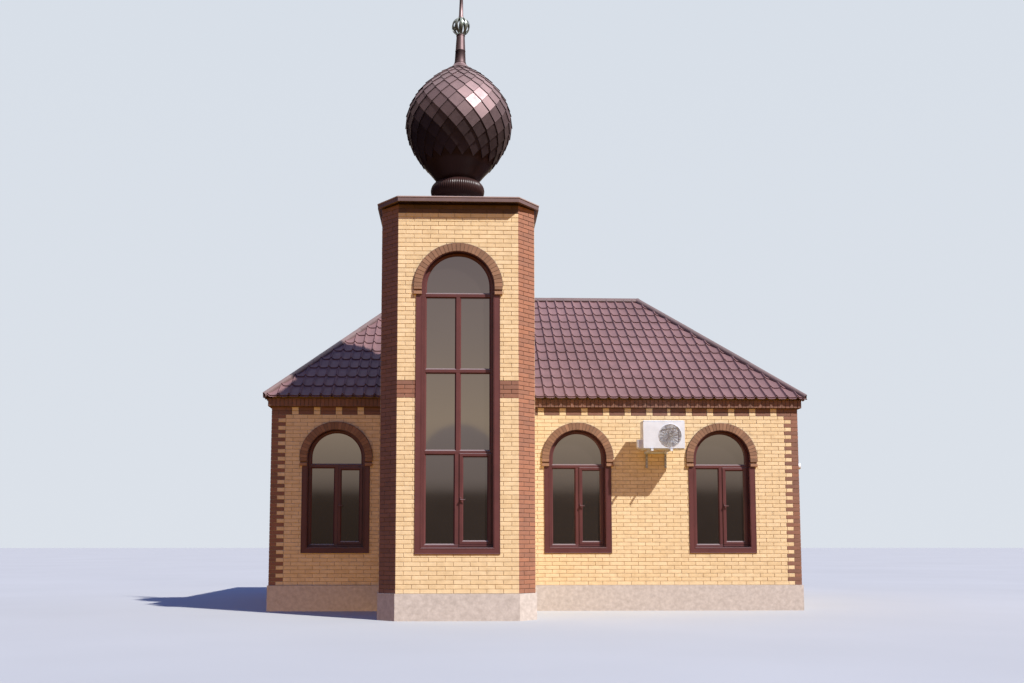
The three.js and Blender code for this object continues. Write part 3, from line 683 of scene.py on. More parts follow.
def build_hall_masonry():
    side_frieze, rear_frieze = plain_frieze(SIDE_LENGTH), plain_frieze(FRONT_LENGTH)
    for name, place, start, end, windows, doors, ends, frieze in (
        ("front_wall_left", FRONT, 0, TOWER_SPAN[0], FRONT_X[:1], [], (1, None), LEFT_FRIEZE),
        ("front_wall_right", FRONT, TOWER_SPAN[1], FRONT_LENGTH, FRONT_X[1:], [], (None, 1), RIGHT_FRIEZE),
        ("left_wall", LEFT, 0, SIDE_LENGTH, LEFT_X, [], (0, 0), side_frieze),
        ("right_wall", RIGHT, 0, SIDE_LENGTH, RIGHT_X, [], (0, 0), side_frieze),
        ("rear_wall", REAR, 0, FRONT_LENGTH, REAR_X, [REAR_MIDDLE], (1, 1), rear_frieze),
    ):
        wall_core(name, into_hall)
        g = fresh()
        holes = openings(windows, HALL_WINDOW) + openings(doors, HALL_WINDOW, ENTRANCE_SILL)
        lay_wall(g, place, start, end, PLINTH_TOP, HALL_COURSES, HALL_COURSE, lambda c: "straw", holes, ends,
                 frieze=frieze)
        if place is not FRONT:
            for x in windows + doors:
                lay_arch(g["brown"], moved(place, x), HALL_WINDOW)
            lay_cornice(g["brown"], place, start, end)
        bricks(name, g)


def build_front_trim():
    for name, start, end in (
        ("left", -CORNICE_OUT, TOWER_SPAN[0]),
        ("right", TOWER_SPAN[1], FRONT_LENGTH + CORNICE_OUT),
    ):
        g = Gather()
        lay_cornice(g, FRONT, start, end)
        make("cornice_bricks_" + name, g, [BROWN, DARK_MORTAR], ["cornice_front_" + name],
             recalc=False)
    arches = [(name, "front_arch_" + name, FRONT, x, HALL_WINDOW) for name, x in zip(FRONT_NAMES, FRONT_X)]
    arches.append(("tower", "tower_arch", TOWER, TOWER_HALF, TOWER_WINDOW))
    for name, node, place, x, window in arches:
        g = Gather()
        lay_arch(g, moved(place, x), window)
        make("arch_bricks_" + name, g, [ARCH, DARK_MORTAR], [node])


def lay_tower(g, p0, p1, phase, brown, low=TOWER_PLINTH_TOP, courses=TOWER_COURSES, window=None):
    """One face of the tower. brown says which of its courses are brown."""
    place, length = face(p0, p1)
    lay_wall(g, place, 0, length, low, courses, TOWER_COURSE, lambda c: "brown" if c in brown else "straw",
             openings([length / 2], window) if window else (), phase=phase)


def build_tower_masonry():
    for side in ("front", "left", "right", "rear"):
        wall_core(f"tower_{side}_wall", into_tower)
    plan, every = tower_plan(0), range(TOWER_COURSES)
    g = fresh()
    with g["brown"].toned(0.5, 0.8):
        lay_tower(g, plan[1], plan[2], 0.12, TOWER_BAND, courses=TOWER_COURSES - TRIM, window=TOWER_WINDOW)
    # The top two courses take the darkest tones: painted shade under the cap.
    with g["brown"].toned(0.0, 0.15):
        lay_tower(g, plan[1], plan[2], 0.12, every, TOWER_TOP - TRIM * TOWER_COURSE, TRIM)
    # The two chamfers take different tones of one brick, the left darker as in shade and the right lighter as
    # in sun: painted light and shade.
    with g["brown"].toned(0.4, 0.6):
        lay_tower(g, plan[0], plan[1], 0.12, every)
    with g["brown"].toned(0.7, 1.0):
        lay_tower(g, plan[2], plan[3], 0.12, every)
    bricks("tower_front", g)
    right, left = (TOWER_HALF, 0), (-TOWER_HALF, 0)
    for name, a, b in (("tower_right", plan[3], right), ("tower_left", left, plan[0])):
        g = fresh()
        lay_tower(g, a, b, 0.1, TOWER_TRIM)
        bricks(name, g)
    g = fresh()
    first = round((HALL_ROOF_MEETS_TOWER - TOWER_PLINTH_TOP) / TOWER_COURSE)
    low, count = TOWER_PLINTH_TOP + first * TOWER_COURSE, TOWER_COURSES - first
    rear = [right, (TOWER_HALF - TOWER_REAR, TOWER_REAR), (TOWER_REAR - TOWER_HALF, TOWER_REAR), left]
    for i, brown in enumerate((every, range(count - TRIM, count), every)):
        lay_tower(g, rear[i], rear[i + 1], 0.05, brown, low, count)
    bricks("tower_rear", g)


build_hall_masonry()
build_front_trim()
build_tower_masonry()


# Windows. A section is drawn as (outward, depth), its inner edge at 0.
BEAD, BEAD_DROP = 0.018, 0.022
BAR, TRANSOM_HALF, GLASS_IN, GLASS_LAP, SASH_OUT = 0.052, 0.026, 0.026, 0.005, 0.014
HANDLE_HEIGHT, DOOR_HANDLE_HEIGHT = 1.86, 1.5


def bar_section(width):
    """A frame bar with a sloping bead along its inner edge."""
    y0, y1 = RECESS, FRAME_BACK
    return [(-BEAD, y0 + BEAD_DROP), (0, y0 + 0.004), (0.004, y0), (width - 0.003, y0), (width, y0 + 0.003),
            (width, y1), (-BEAD, y1)]


def bar_between(g, place, x0, x1, z0, z1, y0, y1, upright=False):
    """A straight bar with a bead along both edges."""
    if upright:
        half, path = (x1 - x0) / 2, [((x0 + x1) / 2, z0), ((x0 + x1) / 2, z1)]
    else:
        half, path = (z1 - z0) / 2, [(x0, (z0 + z1) / 2), (x1, (z0 + z1) / 2)]
    right = [(half - 0.003, y0), (half, y0 + 0.003), (half + BEAD, y0 + BEAD_DROP), (half + BEAD, y1)]
    sweep(g, place, path, [(-w, y) for w, y in right[::-1]] + right)


def pane(g, place, outline, y):
    points = [(x, y + back, z) for back in (0, 0.006) for x, z in outline]
    g.add(place(points), ring_faces(len(outline), 2))


def glaze(g, place, x0, x1, z0, z1):
    """A pane between bars, reaching a little way behind them."""
    lap = GLASS_LAP
    pane(g, place, rectangle(x0 - lap, x1 + lap, z0 - lap, z1 + lap), RECESS + GLASS_IN)


def sash(g, panes, place, x0, x1, z0, z1, y):
    """An opening sash: its own closed frame standing a little proud, its weather bar and its pane."""
    wide, low = 0.05, 0.075
    section = [(-0.014, y + 0.02), (0, y + 0.004), (0.005, y), (wide - 0.006, y), (wide, y + 0.006),
               (wide, y + 0.05), (-0.014, y + 0.05)]
    sweep(g, place, rectangle(x0 + wide, x1 - wide, z0 + low, z1 - wide), section, closed=True)
    sweep(g, place, [(x0, z0 + 0.012), (x1, z0 + 0.012)], rectangle(-0.012, 0.016, y + 0.002, y + 0.04))
    pane(panes, place, rectangle(x0 + 0.03, x1 - 0.03, z0 + 0.04, z1 - 0.03), y + 0.022)


def casing(g, place, window):
    """Flat folded sheet around the opening below the arch, mitred at the lower corners."""
    half, corbel = window["half"], window["corbel"]
    path = [(-half, corbel), (-half, SILL), (half, SILL), (half, corbel)]
    y = -CASING_OUT
    edge, step, far = y + 0.004, y + 0.003, CASING
    sweep(g, place, path, [(0, edge), (0.004, y), (0.012, y), (0.014, step), (far - 0.014, step),
                           (far - 0.012, y), (far - 0.002, y), (far, edge), (far, 0.004), (0, 0.004)])
    back = RECESS + 0.01
    sweep(g, place, path, [(-0.012, y + 0.006), (-0.009, y + 0.001), (-0.001, y + 0.001), (-0.001, back),
                           (-0.012, back)])


def handle(g, place, x, z, y):
    """A plate, its neck and the grip."""
    block(g, place, x - 0.012, x + 0.012, z - 0.035, z + 0.035, y - 0.008, y + 0.004, bevel=0.003)
    block(g, place, x - 0.008, x + 0.008, z - 0.01, z + 0.01, y - 0.03, y - 0.006, bevel=0.003)
    block(g, place, x - 0.01, x + 0.07, z - 0.009, z + 0.005, y - 0.04, y - 0.026, bevel=0.004)


def build_window(g, panes, place, window):
    half, spring, transoms = window["half"], window["spring"] + window["rise"], window["transoms"]
    casing(g, place, window)
    foot = window["corbel"] + 0.001
    lining = [(half, foot), *arc((0, window["spring"]), half, 0, math.pi, 32), (-half, foot)]
    sweep(g, place, lining, rectangle(-0.004, 0.0085, -0.02, RECESS + 0.01))
    inner, bottom = half - BAR, SILL + BAR + 0.001
    sweep(g, place, arch_path(inner, bottom, spring), bar_section(BAR - 0.0005), closed=True)
    for z in transoms:
        bar_between(g, place, 0.001 - inner, inner - 0.001, z - TRANSOM_HALF, z + TRANSOM_HALF, RECESS,
                    FRAME_BACK - 0.004)
    for i, (low, high) in enumerate(zip([bottom] + transoms, transoms)):
        left, right = (-0.03, 0.03) if i else window["mullion"]
        bar_between(g, place, left, right, low + 0.02 * (i > 0), high - 0.02, RECESS + 0.0015,
                    FRAME_BACK - 0.006, upright=True)
        low, high = low + TRANSOM_HALF * (i > 0), high - TRANSOM_HALF
        glaze(panes, place, -inner, left, low, high)
        if i == 0:
            sash(g, panes, place, right - 0.02, inner + 0.012, low - 0.02, high + 0.012, RECESS - SASH_OUT)
        else:
            glaze(panes, place, right, inner, low, high)
    pane(panes, place, arch_path(inner + GLASS_LAP, transoms[-1] + 0.02, spring), RECESS + GLASS_IN)


def build_windows():
    windows = [("front_window_" + name, FRONT, x, "front_glass_" + name)
               for name, x in zip(FRONT_NAMES, FRONT_X)]
    windows.append(("tower_window", TOWER, TOWER_HALF, "tower_glass"))
    for wall, place, names, xs in (
        ("left", LEFT, ("front", "rear"), LEFT_X),
        ("right", RIGHT, ("front", "rear"), RIGHT_X),
        ("rear", REAR, ("left", "right"), REAR_X[::-1]),
    ):
        windows += [(f"{wall}_window_{name}", place, x, wall + "_glass") for name, x in zip(names, xs)]
    for node, place, x, glass in windows:
        window = TOWER_WINDOW if place is TOWER else HALL_WINDOW
        g, panes = Gather(), Gather()
        build_window(g, panes, moved(place, x), window)
        handle(g, moved(place, x), window["mullion"][1] + 0.005, HANDLE_HEIGHT, RECESS - SASH_OUT)
        make(node + "_bars", g, [FRAME], [node], smooth=28)
        make(node + "_panes", panes, [GLASS], [glass])


def build_entrance():
    place = moved(REAR, REAR_MIDDLE)
    half, spring, transom = HALL_WINDOW["half"], HALL_WINDOW["spring"], HALL_WINDOW["transoms"][0]
    inner, floor = half - 0.07, ENTRANCE_SILL
    g, panes = Gather(), Gather()
    path = arch_path(inner, floor + 0.03, spring)
    sweep(g, place, path[1:] + [path[0]], bar_section(0.0695))
    bar_between(g, place, 0.001 - inner, inner - 0.001, transom - 0.03, transom + 0.03, RECESS,
                FRAME_BACK - 0.004)
    block(g, place, 0.003 - half, half - 0.003, floor + 0.001, floor + 0.03, RECESS - 0.03, FRAME_BACK,
          bevel=0.004, slot=1)
    pane(panes, place, arch_path(inner + GLASS_LAP, transom + 0.02, spring), RECESS + GLASS_IN)
    make("entrance_frame_bars", g, [FRAME, STEEL], ["entrance_frame"], smooth=28)
    make("entrance_pane", panes, [GLASS], ["rear_glass"])
    build_door(place, inner - 0.004, floor + 0.034, transom - 0.033)


def build_door(place, half, bottom, top):
    """A leaf of stiles and rails with two raised panels, a handle and hinges."""
    g = Gather()
    stile, front = 0.11, RECESS + 0.006
    back, span = front + 0.045, half - stile
    block(g, place, 0.01 - half, half - 0.01, bottom + 0.01, top - 0.01, front + 0.014, front + 0.04)
    for a, b in ((-half, -span), (span, half)):
        block(g, place, a, b, bottom, top, front, back, bevel=0.004)
    rails = [bottom, bottom + 0.18, bottom + 0.86, bottom + 1.0, top - stile, top]
    for a, b in zip(rails[::2], rails[1::2]):
        block(g, place, 0.0005 - span, span - 0.0005, a, b, front + 0.0005, back, bevel=0.004)
    moulding = [(0, front + 0.02), (0.004, front + 0.006), (0.024, front + 0.004), (0.03, front + 0.016),
                (0.03, front + 0.03), (0, front + 0.03)]
    for a, b in zip(rails[1:-1:2], rails[2::2]):
        sweep(g, place, rectangle(0.03 - span, span - 0.03, a + 0.03, b - 0.03), moulding, closed=True)
        block(g, place, 0.07 - span, span - 0.07, a + 0.07, b - 0.07, front + 0.004, front + 0.03,
              bevel=0.008)
    handle(g, place, 0.05 - half, DOOR_HANDLE_HEIGHT, front)
    for z in (0.72, 1.5, 2.3):
        block(g, place, half - 0.012, half + 0.016, z, z + 0.1, front - 0.012, front + 0.01, bevel=0.004,
              slot=1)
    make("entrance_leaf", g, [FRAME, STEEL], ["entrance_door"])


build_windows()
build_entrance()


# Roof
ROW = 0.347
SIDE_ROW = ROW * math.hypot(1, FRONT_SLOPE) / math.hypot(1, SIDE_SLOPE)
EAVE_LIP, ROW_STEP, ROW_TUCK, SHEET_THICK = -0.018, 0.025, 0.018, 0.005
SHEET_BASE, DECK_TOP = EAVE_TOP - 0.03, EAVE_TOP - 0.042
ROLL, PAN, LEFT_FLANK, RIGHT_FLANK = 0.033, 0.008, 0.078, 0.145
WAVE_SAMPLES = (0.0, 0.05, 0.09, 0.13, 0.18, 0.3, 0.5, 0.7, 0.82, 0.87, 0.91, 0.95)
EAVE_LOW, EAVE_HIGH = (ROOF_LEFT - 0.02, ROOF_FRONT - 0.04), (ROOF_RIGHT + 0.02, ROOF_REAR + 0.04)
HIP_SECTION = [(-0.07, -0.02), (-0.068, 0.006), (-0.06, 0.029), (-0.045, 0.044), (-0.025, 0.052)]
RIDGE_SECTION = [(-0.062, 0.004), (-0.062, 0.022), (-0.057, 0.026), (-0.032, 0.034), (-0.017, 0.044)]
RISES = {
    "front": lambda x, y: FRONT_SLOPE * (y - ROOF_FRONT),
    "rear": lambda x, y: FRONT_SLOPE * (ROOF_REAR - y),
    "left": lambda x, y: SIDE_SLOPE * (x - ROOF_LEFT),
    "right": lambda x, y: SIDE_SLOPE * (ROOF_RIGHT - x),
}


def surface(x, y):
    return EAVE_TOP + min(rise(x, y) for rise in RISES.values())


def wave(along):
    """The sheets' section: a roll with a steep left flank and a gentler right one, then a broad pan."""
    t = (along / WAVE + 0.5) % 1.0 - 0.5
    roll = np.exp(-((np.abs(t) / np.where(t < 0, LEFT_FLANK, RIGHT_FLANK)) ** 2.4))
    return ROLL * roll + PAN * (1 - 2 * np.abs(t)) ** 2


def cut(bm, a, b, clear=False):
    """Cuts the sheets above the line from a to b. clear also takes away what lies to its right."""
    a, d = Vector(a), Vector(b) - Vector(a)
    normal = Vector((d.y, -d.x, 0))
    everything = bm.verts[:] + bm.edges[:] + bm.faces[:]
    bmesh.ops.bisect_plane(bm, geom=everything, plane_co=a, plane_no=normal, clear_outer=clear, dist=1e-6)
    return a, normal


def cut_out_tower(bm):
    """Cuts the sheets along the tower's outline and takes out what lies inside it."""
    half, back = TOWER_HALF, 0.002
    plan = [(-half, TOWER_FRONT), (half, TOWER_FRONT), (half, back), (half - TOWER_REAR, TOWER_REAR + back),
            (TOWER_REAR - half, TOWER_REAR + back), (-half, back)]
    plan = [OFFSET + (x, y, 0) for x, y in plan]
    sides = [cut(bm, a, b) for a, b in zip(plan, plan[1:] + plan[:1])]
    inside = [f for f in bm.faces if all((f.calc_center_median() - a).dot(n) < 0 for a, n in sides)]
    bmesh.ops.delete(bm, geom=inside, context="FACES")


def tile_slope(side, p0, p1, slope, phase, run, row, hips):
    """Corrugated sheets pressed into rows. Local X runs along the eave and Y away from it in plan."""
    place, length = face(p0, p1)
    base = (phase + 0.1) % WAVE - WAVE - 0.1
    waves = math.ceil((length + 0.2) / WAVE) + 2
    xs = [base + (i + t) * WAVE for i in range(waves) for t in WAVE_SAMPLES]
    xs = [x for x in xs if -0.12 <= x <= length + 0.12]
    rows, y = [(EAVE_LIP, 0.003), (ROW_TUCK - 0.003, 0.0)], -0.003
    while y < run + 0.05:
        rows += [(y, ROW_STEP), (y + row + ROW_TUCK, 0.0)]
        y += row
    ys, lift = np.array(rows).T
    grid_x, grid_y = np.meshgrid(xs, ys)
    z = SHEET_BASE + slope * grid_y + wave(grid_x - phase) + lift[:, None]
    bm = bmesh.new()
    corners = place(np.column_stack((grid_x.ravel(), grid_y.ravel(), z.ravel()))) + OFFSET
    verts = [bm.verts.new(p) for p in corners]
    n = len(xs)
    for i in range(len(verts) - n):
        if i % n < n - 1:
            bm.faces.new((verts[i], verts[i + 1], verts[i + n + 1], verts[i + n]))
    for a, b in hips:
        cut(bm, *(place([(*a, 0), (*b, 0)]) + OFFSET), clear=True)
    if side == "front":
        cut_out_tower(bm)
    extruded = bmesh.ops.extrude_face_region(bm, geom=bm.faces[:], use_keep_orig=True)
    for element in extruded["geom"]:
        if isinstance(element, bmesh.types.BMVert):
            element.co.z -= SHEET_THICK
    bmesh.ops.recalc_face_normals(bm, faces=bm.faces)
    if bm.calc_volume(signed=True) < 0:
        bmesh.ops.reverse_faces(bm, faces=bm.faces)
    sheets = from_bmesh(f"roof_{side}_sheets", bm)
    co = np.array([v.co for v in sheets.data.vertices])
    value = 0.5 + 0.4 * np.sin(co[:, 0] * 1.9) * np.sin(co[:, 1] * 1.3 + 1)
    set_tones(sheets.data, np.column_stack((value, value, value, np.ones(len(co)))))
    finish_piece(sheets, [TILE], ["roof_" + side], smooth=32)


def deck(side, rise):
    """The boarding under the sheets: the slope's solid, its upper face and eave edge set back."""
    bm, back = solid_of("roof_" + side), 0.03
    for v in bm.verts:
        x, y = v.co.x - OFFSET[0], v.co.y - OFFSET[1]
        upper = v.co.z > rise(x, y) + EAVE_BOTTOM + ROOF_THICK / 2
        x = min(max(x, ROOF_LEFT + back), ROOF_RIGHT - back)
        y = min(max(y, ROOF_FRONT + back), ROOF_REAR - back)
        v.co = OFFSET + (x, y, rise(x, y) + (DECK_TOP if upper else EAVE_BOTTOM))
    finish_piece(from_bmesh(f"roof_{side}_deck", bm), [SHEET], ["roof_" + side])


def cap_run(g, a, b, half_section, top, pieces=3):
    """Folded caps along a ridge or hip between plan points, sitting on the sheets' crests."""
    length = np.linalg.norm(b - a)
    d = (b - a) / length
    across = np.array((-d[1], d[0]))
    outside = half_section + [(0, top)] + [(-w, h) for w, h in half_section[::-1]]
    section = outside + [(w * 0.985, h - 0.004) for w, h in outside[::-1]]
    k = len(section)
    faces = ring_faces(k, 2)[:-2]
    for end in (0, k):
        faces += [(end + m, end + m + 1, end + k - 2 - m, end + k - 1 - m) for m in range(len(outside) - 1)]
    for i in range(pieces):
        start = max(0.0, i / pieces - 0.04 * (i > 0))
        points = []
        for t, lift, wider in ((start, 0.003, 1.04), ((i + 1) / pieces, 0.0, 1.0)):
            for w, h in section:
                x, y = np.clip(a + d * length * t + across * w * wider, EAVE_LOW, EAVE_HIGH)
                points.append((x, y, surface(x, y) + h + lift))
        g.add(points, faces)


def build_roof():
    width, depth, run = ROOF_RIGHT - ROOF_LEFT, ROOF_REAR - ROOF_FRONT, RIDGE_Y - ROOF_FRONT
    corners = rectangle(ROOF_LEFT, ROOF_RIGHT, ROOF_FRONT, ROOF_REAR)
    near, far = (HIP_RUN, run), (width - HIP_RUN, run)
    long_cuts = [(near, (0, 0)), ((width, 0), far), (far, near)]
    peak = (run, HIP_RUN)
    short_cuts = [(peak, (0, 0)), ((depth, 0), peak)]
    for side, first, slope, phase in (
        ("front", 0, FRONT_SLOPE, WAVE_PHASE - ROOF_LEFT),
        ("rear", 2, FRONT_SLOPE, 0.05),
        ("left", 3, SIDE_SLOPE, 0.08),
        ("right", 1, SIDE_SLOPE, 0.08),
    ):
        size = (run, ROW, long_cuts) if side in ("front", "rear") else (HIP_RUN, SIDE_ROW, short_cuts)
        tile_slope(side, corners[first], corners[(first + 1) % 4], slope, phase, *size)
        deck(side, RISES[side])
    g = Gather()
    left, right = np.array((ROOF_LEFT + HIP_RUN, RIDGE_Y)), np.array((ROOF_RIGHT - HIP_RUN - 0.03, RIDGE_Y))
    for i, end in ((0, left), (3, left), (1, right), (2, right)):
        cap_run(g, corners[i] + 0.03 * np.sign(corners[i] - end), end, HIP_SECTION, 0.055)
    cap_run(g, left, right, RIDGE_SECTION, 0.048)
    make("ridge_and_hip_cap_sheets", g, [SHEET], ["ridge_and_hip_caps"], smooth=40)


build_roof()


# Tower top. Its turned pieces are drawn as (radius, height).
AXIS = (0, TOWER_MIDDLE)
DOME_TOP, DOME_LEAN, LEAN_PIVOT = 9.385, 0.016, 8.3
DOME_CURVE = [(0.338, 7.378), (0.388, 7.432), (0.484, 7.55), (0.618, 7.7), (0.755, 7.9), (0.858, 8.1),
              (0.909, 8.29), (0.916, 8.44), (0.89, 8.61), (0.815, 8.8), (0.678, 9.0), (0.484, 9.2),
              (0.355, 9.3), (0.243, DOME_TOP)]
PLATES, PLATE_HALF, PLATE_ROW_HEIGHT, PLATE_TURN, LOWEST_ROW = 20, 0.153, 8.357, -83.3, -4
SHELL_IN, SHELL_IN_FROM = 0.02, 7.66
CAP_BASE, CAP_EDGE, CAP_HEIGHT = TOWER_TOP + 0.0003, 0.084, 0.39
CROWN_HALF = 0.47
PLEATS, RING_RADIUS, RING_TUBE, RING_MIDDLE = 72, 0.303, 0.155, 7.225
BALL_FOOT, BALL_RADIUS, BALL_BLADES, BLADE_STEPS = 10.046, 0.157, 10, 14
BLADE_SECTION = ((-0.004, -1), (0.001, -0.5), (0.002, 0), (0.001, 0.5), (-0.004, 1), (-0.009, 0.9),
                 (-0.006, 0), (-0.009, -0.9))
SPIKE_FOOT = 10.3625


def cap_rings(*steps):
    """The cap's outline at each (inset, height). It reaches further out at the front and rear."""
    return [(octagon(TOWER_HALF + CAP_SIDE_OUT - inset, TOWER_FRONT - CAP_FRONT_OUT + inset,
                     TOWER_REAR + CAP_FRONT_OUT - inset, *CAP_CHAMFER), z) for inset, z in steps]


def build_tower_cap():
    g = Gather()
    base, low, top, peak = CAP_BASE, CAP_BASE + 0.001, CAP_BASE + CAP_EDGE, CAP_BASE + CAP_HEIGHT
    half_depth = (TOWER_REAR - TOWER_FRONT) / 2
    crown = [(x * CROWN_HALF / TOWER_HALF, TOWER_MIDDLE + (y - TOWER_MIDDLE) * CROWN_HALF / half_depth)
             for x, y in tower_plan(0)]
    slab = cap_rings((0.03, base), (0.03, low), (0.004, low - 0.002), (0, low + 0.003), (0, top - 0.004),
                     (0.004, top))
    plan_loft(g, slab + [(crown, peak)])
    # The drip edge in its lighter colour: a painted highlight.
    plan_loft(g, cap_rings((0.01, top - 0.017), (-0.007, top - 0.017), (-0.008, top - 0.003),
                           (-0.003, top + 0.002), (0.03, top + 0.004)), slot=1)
    # A thin near-black plate under the soffit: painted shade beneath the cap.
    plan_loft(g, cap_rings((0.031, base - 0.004), (0.031, base - 0.0005)), slot=2)
    rim = np.array([(*p, top) for p in slab[-1][0]])
    upper = np.array([(*p, peak) for p in crown])
    for i in range(8):
        along, above = rim[(i + 1) % 8] - rim[i], upper[(i + 1) % 8] - upper[i]
        count = 4 if np.linalg.norm(along) > 1 else 1
        for k in range(count):
            foot, head = rim[i] + along * k / count, upper[i] + above * k / count
            seam(g, foot + (head - foot) * 0.2, head)
    make("tower_cap_sheets", g, [SHEET, EDGE_HIGHLIGHT, NECK_SHADE], ["tower_cap"])


def seam(g, a, b, width=0.0045, foot=-0.004, height=0.014):
    """An upright fold along the joint of two sheets."""
    side = np.cross(b - a, (0, 0, 1))
    side /= np.linalg.norm(side)
    corners = ((-width, foot), (-width, height), (width, height), (width, foot))
    g.add([p + side * w + (0, 0, h) for p in (a, b) for w, h in corners], ring_faces(4, 2))


def smooth_curve(points, per=24):
    """A Catmull-Rom curve through the points."""
    p = np.array(points)
    p = np.vstack((2 * p[0] - p[1], p, 2 * p[-1] - p[-2]))
    out = []
    for before, a, b, after in zip(p, p[1:], p[2:], p[3:]):
        for t in (k / per for k in range(per)):
            bend = 2 * before - 5 * a + 4 * b - after
            turn = 3 * a - before - 3 * b + after
            out.append(0.5 * (2 * a + (b - before) * t + bend * t**2 + turn * t**3))
    return np.array(out + [p[-2]])


def leaning(g):
    """The ring, the dome, the spire and what it carries stand a little out of plumb."""
    g.points = [(x + DOME_LEAN * (z - LEAN_PIVOT), y, z) for x, y, z in g.points]
    return g


def build_dome():
    curve = smooth_curve(DOME_CURVE)
    steps = np.r_[0, np.cumsum(np.linalg.norm(np.diff(curve, axis=0), axis=1))]
    total = steps[-1]

    def on_curve(s):
        return np.array([np.interp(s, steps, column) for column in curve.T])

    def at(s):
        """Radius and height at a length along the curve, and the direction outward there."""
        s = min(max(s, 0.0), total)
        d = on_curve(min(s + 0.01, total)) - on_curve(max(s - 0.01, 0))
        d /= np.linalg.norm(d)
        return (*on_curve(s), d[1], -d[0])

    g = Gather()
    shell = []
    for s in np.linspace(0, total, 70):
        r, z, out, up = at(s)
        inset = SHELL_IN * min(1.0, max(0.0, (z - SHELL_IN_FROM) / 0.08))
        shell.append((max(r - inset * out, 0.05), z - inset * up))
    # The neck below the plates is painted near black: painted shade and dark reflection.
    lathe(g, shell, AXIS, 64, slot=1)
    middle = float(np.interp(PLATE_ROW_HEIGHT, curve[:, 1], steps))
    row = LOWEST_ROW
    while middle + row * PLATE_HALF < total:
        for i in range(PLATES):
            turn = math.radians(PLATE_TURN + (i + 0.5 * (row % 2)) * 360 / PLATES)
            scale_plate(g, at, middle + row * PLATE_HALF, turn, total)
        row += 1
    make("dome_plates", leaning(g), [DOME, NECK_SHADE], ["dome"], smooth=24)


def scale_plate(g, at, s, angle, total):
    """One flat plate: a diamond tucked under at its top corner and standing proud along its lower edges."""
    def on(s, a, lift):
        r, z, out, up = at(s)
        return np.array((*on_circle(AXIS, r + lift * out, a), z + lift * up))

    half, reach = PLATE_HALF * 1.02, math.pi / PLATES * 1.03
    points = []
    for bottom, side, top in ((0.015, 0.001, -0.011), (-0.01, -0.018, -0.022)):
        low, right = on(s - half, angle, bottom), on(s, angle + reach, side)
        high, left = on(min(s + half, total), angle, top), on(s, angle - reach, side)
        for u in (0, 0.5, 1):
            first, last = low * (1 - u) + right * u, left * (1 - u) + high * u
            points += [first * (1 - v) + last * v for v in (0, 0.5, 1)]
    faces = []
    for i in (0, 1, 3, 4):
        faces += [(i, i + 3, i + 4, i + 1), (i + 10, i + 13, i + 12, i + 9)]
    rim = [0, 3, 6, 7, 8, 5, 2, 1]
    faces += [(9 + a, 9 + b, b, a) for a, b in zip(rim, rim[1:] + rim[:1])]
    g.add(points, faces)


def build_ring():
    base = CAP_BASE + CAP_HEIGHT + 0.0003

    def pleat(a, z):
        return 1.0 if z < base + 0.01 else 0.994 + 0.016 * abs(math.sin(a * PLEATS / 2)) ** 0.7

    tube = arc((RING_RADIUS, RING_MIDDLE), RING_TUBE, math.radians(-68), math.radians(78), 18)
    profile = [(0.3, base), (0.3, base + 0.004), *tube, (0.3, tube[-1][1] + 0.0002)]
    g = Gather()
    # The ring is painted near black: painted shade and dark reflection.
    lathe(g, profile, AXIS, PLEATS * 6, wobble=pleat)
    make("dome_ring_pleats", leaning(g), [NECK_SHADE], ["dome_ring"], smooth=40)


def build_spire():
    foot = DOME_TOP + 0.0003
    skirt = [(0.238, -0.004), (0.245, 0.0), (0.242, 0.006), (0.222, 0.015), (0.158, 0.062), (0.122, 0.108),
             (0.102, 0.132), (0.1, 0.138), (0.104, 0.142), (0.104, 0.152), (0.097, 0.157), (0.087, 0.36),
             (0.09, 0.364), (0.09, 0.372), (0.086, 0.376)]
    collar = [(0.072, 10.02), (0.077, 10.025), (0.077, 10.04), (0.06, 10.045)]
    g = Gather()
    lathe(g, [(r, foot + h) for r, h in skirt] + collar, AXIS)
    make("spire_sheets", leaning(g), [DOME], ["spire"], smooth=40)
    g = Gather()
    for b in range(BALL_BLADES):
        finial_blade(g, math.radians(-84 + 360 * b / BALL_BLADES))
    core = [(0.03, -0.002), (0.062, 0), (0.064, 0.012), (0.03, 0.024), (0.026, 0.28), (0.058, 0.296),
            (0.058, 0.31), (0.03, 0.316)]
    lathe(g, [(r, BALL_FOOT + h) for r, h in core], AXIS, 24)
    make("finial_blades", leaning(g), [FINIAL], ["finial_ball"], smooth=35)
    g = Gather()
    cup = [(0.03, -0.002), (0.046, 0), (0.044, 0.02), (0.038, 0.03)]
    rod = [(0.029, 10.7), (0.031, 10.705), (0.031, 10.715), (0.027, 10.72), (0.012, 11.23), (0.006, 11.25)]
    lathe(g, [(r, SPIKE_FOOT + h) for r, h in cup] + rod, AXIS, 24)
    make("finial_spike_rod", leaning(g), [DOME], ["finial_spike"], smooth=35)


def finial_blade(g, turn):
    """One bent blade of the ball, broad at its middle and narrow where the blades meet."""
    points = []
    for i in range(BLADE_STEPS + 1):
        t = math.radians(-76 + 152 * i / BLADE_STEPS)
        wide = 0.007 + 0.021 * math.cos(t) ** 1.3
        for out, w in BLADE_SECTION:
            r, side = (BALL_RADIUS + out) * math.cos(t), w * wide
            x = r * math.cos(turn) - side * math.sin(turn)
            y = r * math.sin(turn) + side * math.cos(turn)
            points.append((x, TOWER_MIDDLE + y, BALL_FOOT + 0.158 + (BALL_RADIUS + out) * math.sin(t)))
    g.add(points, ring_faces(len(BLADE_SECTION), BLADE_STEPS + 1))


build_tower_cap()
build_dome()
build_ring()
build_spire()


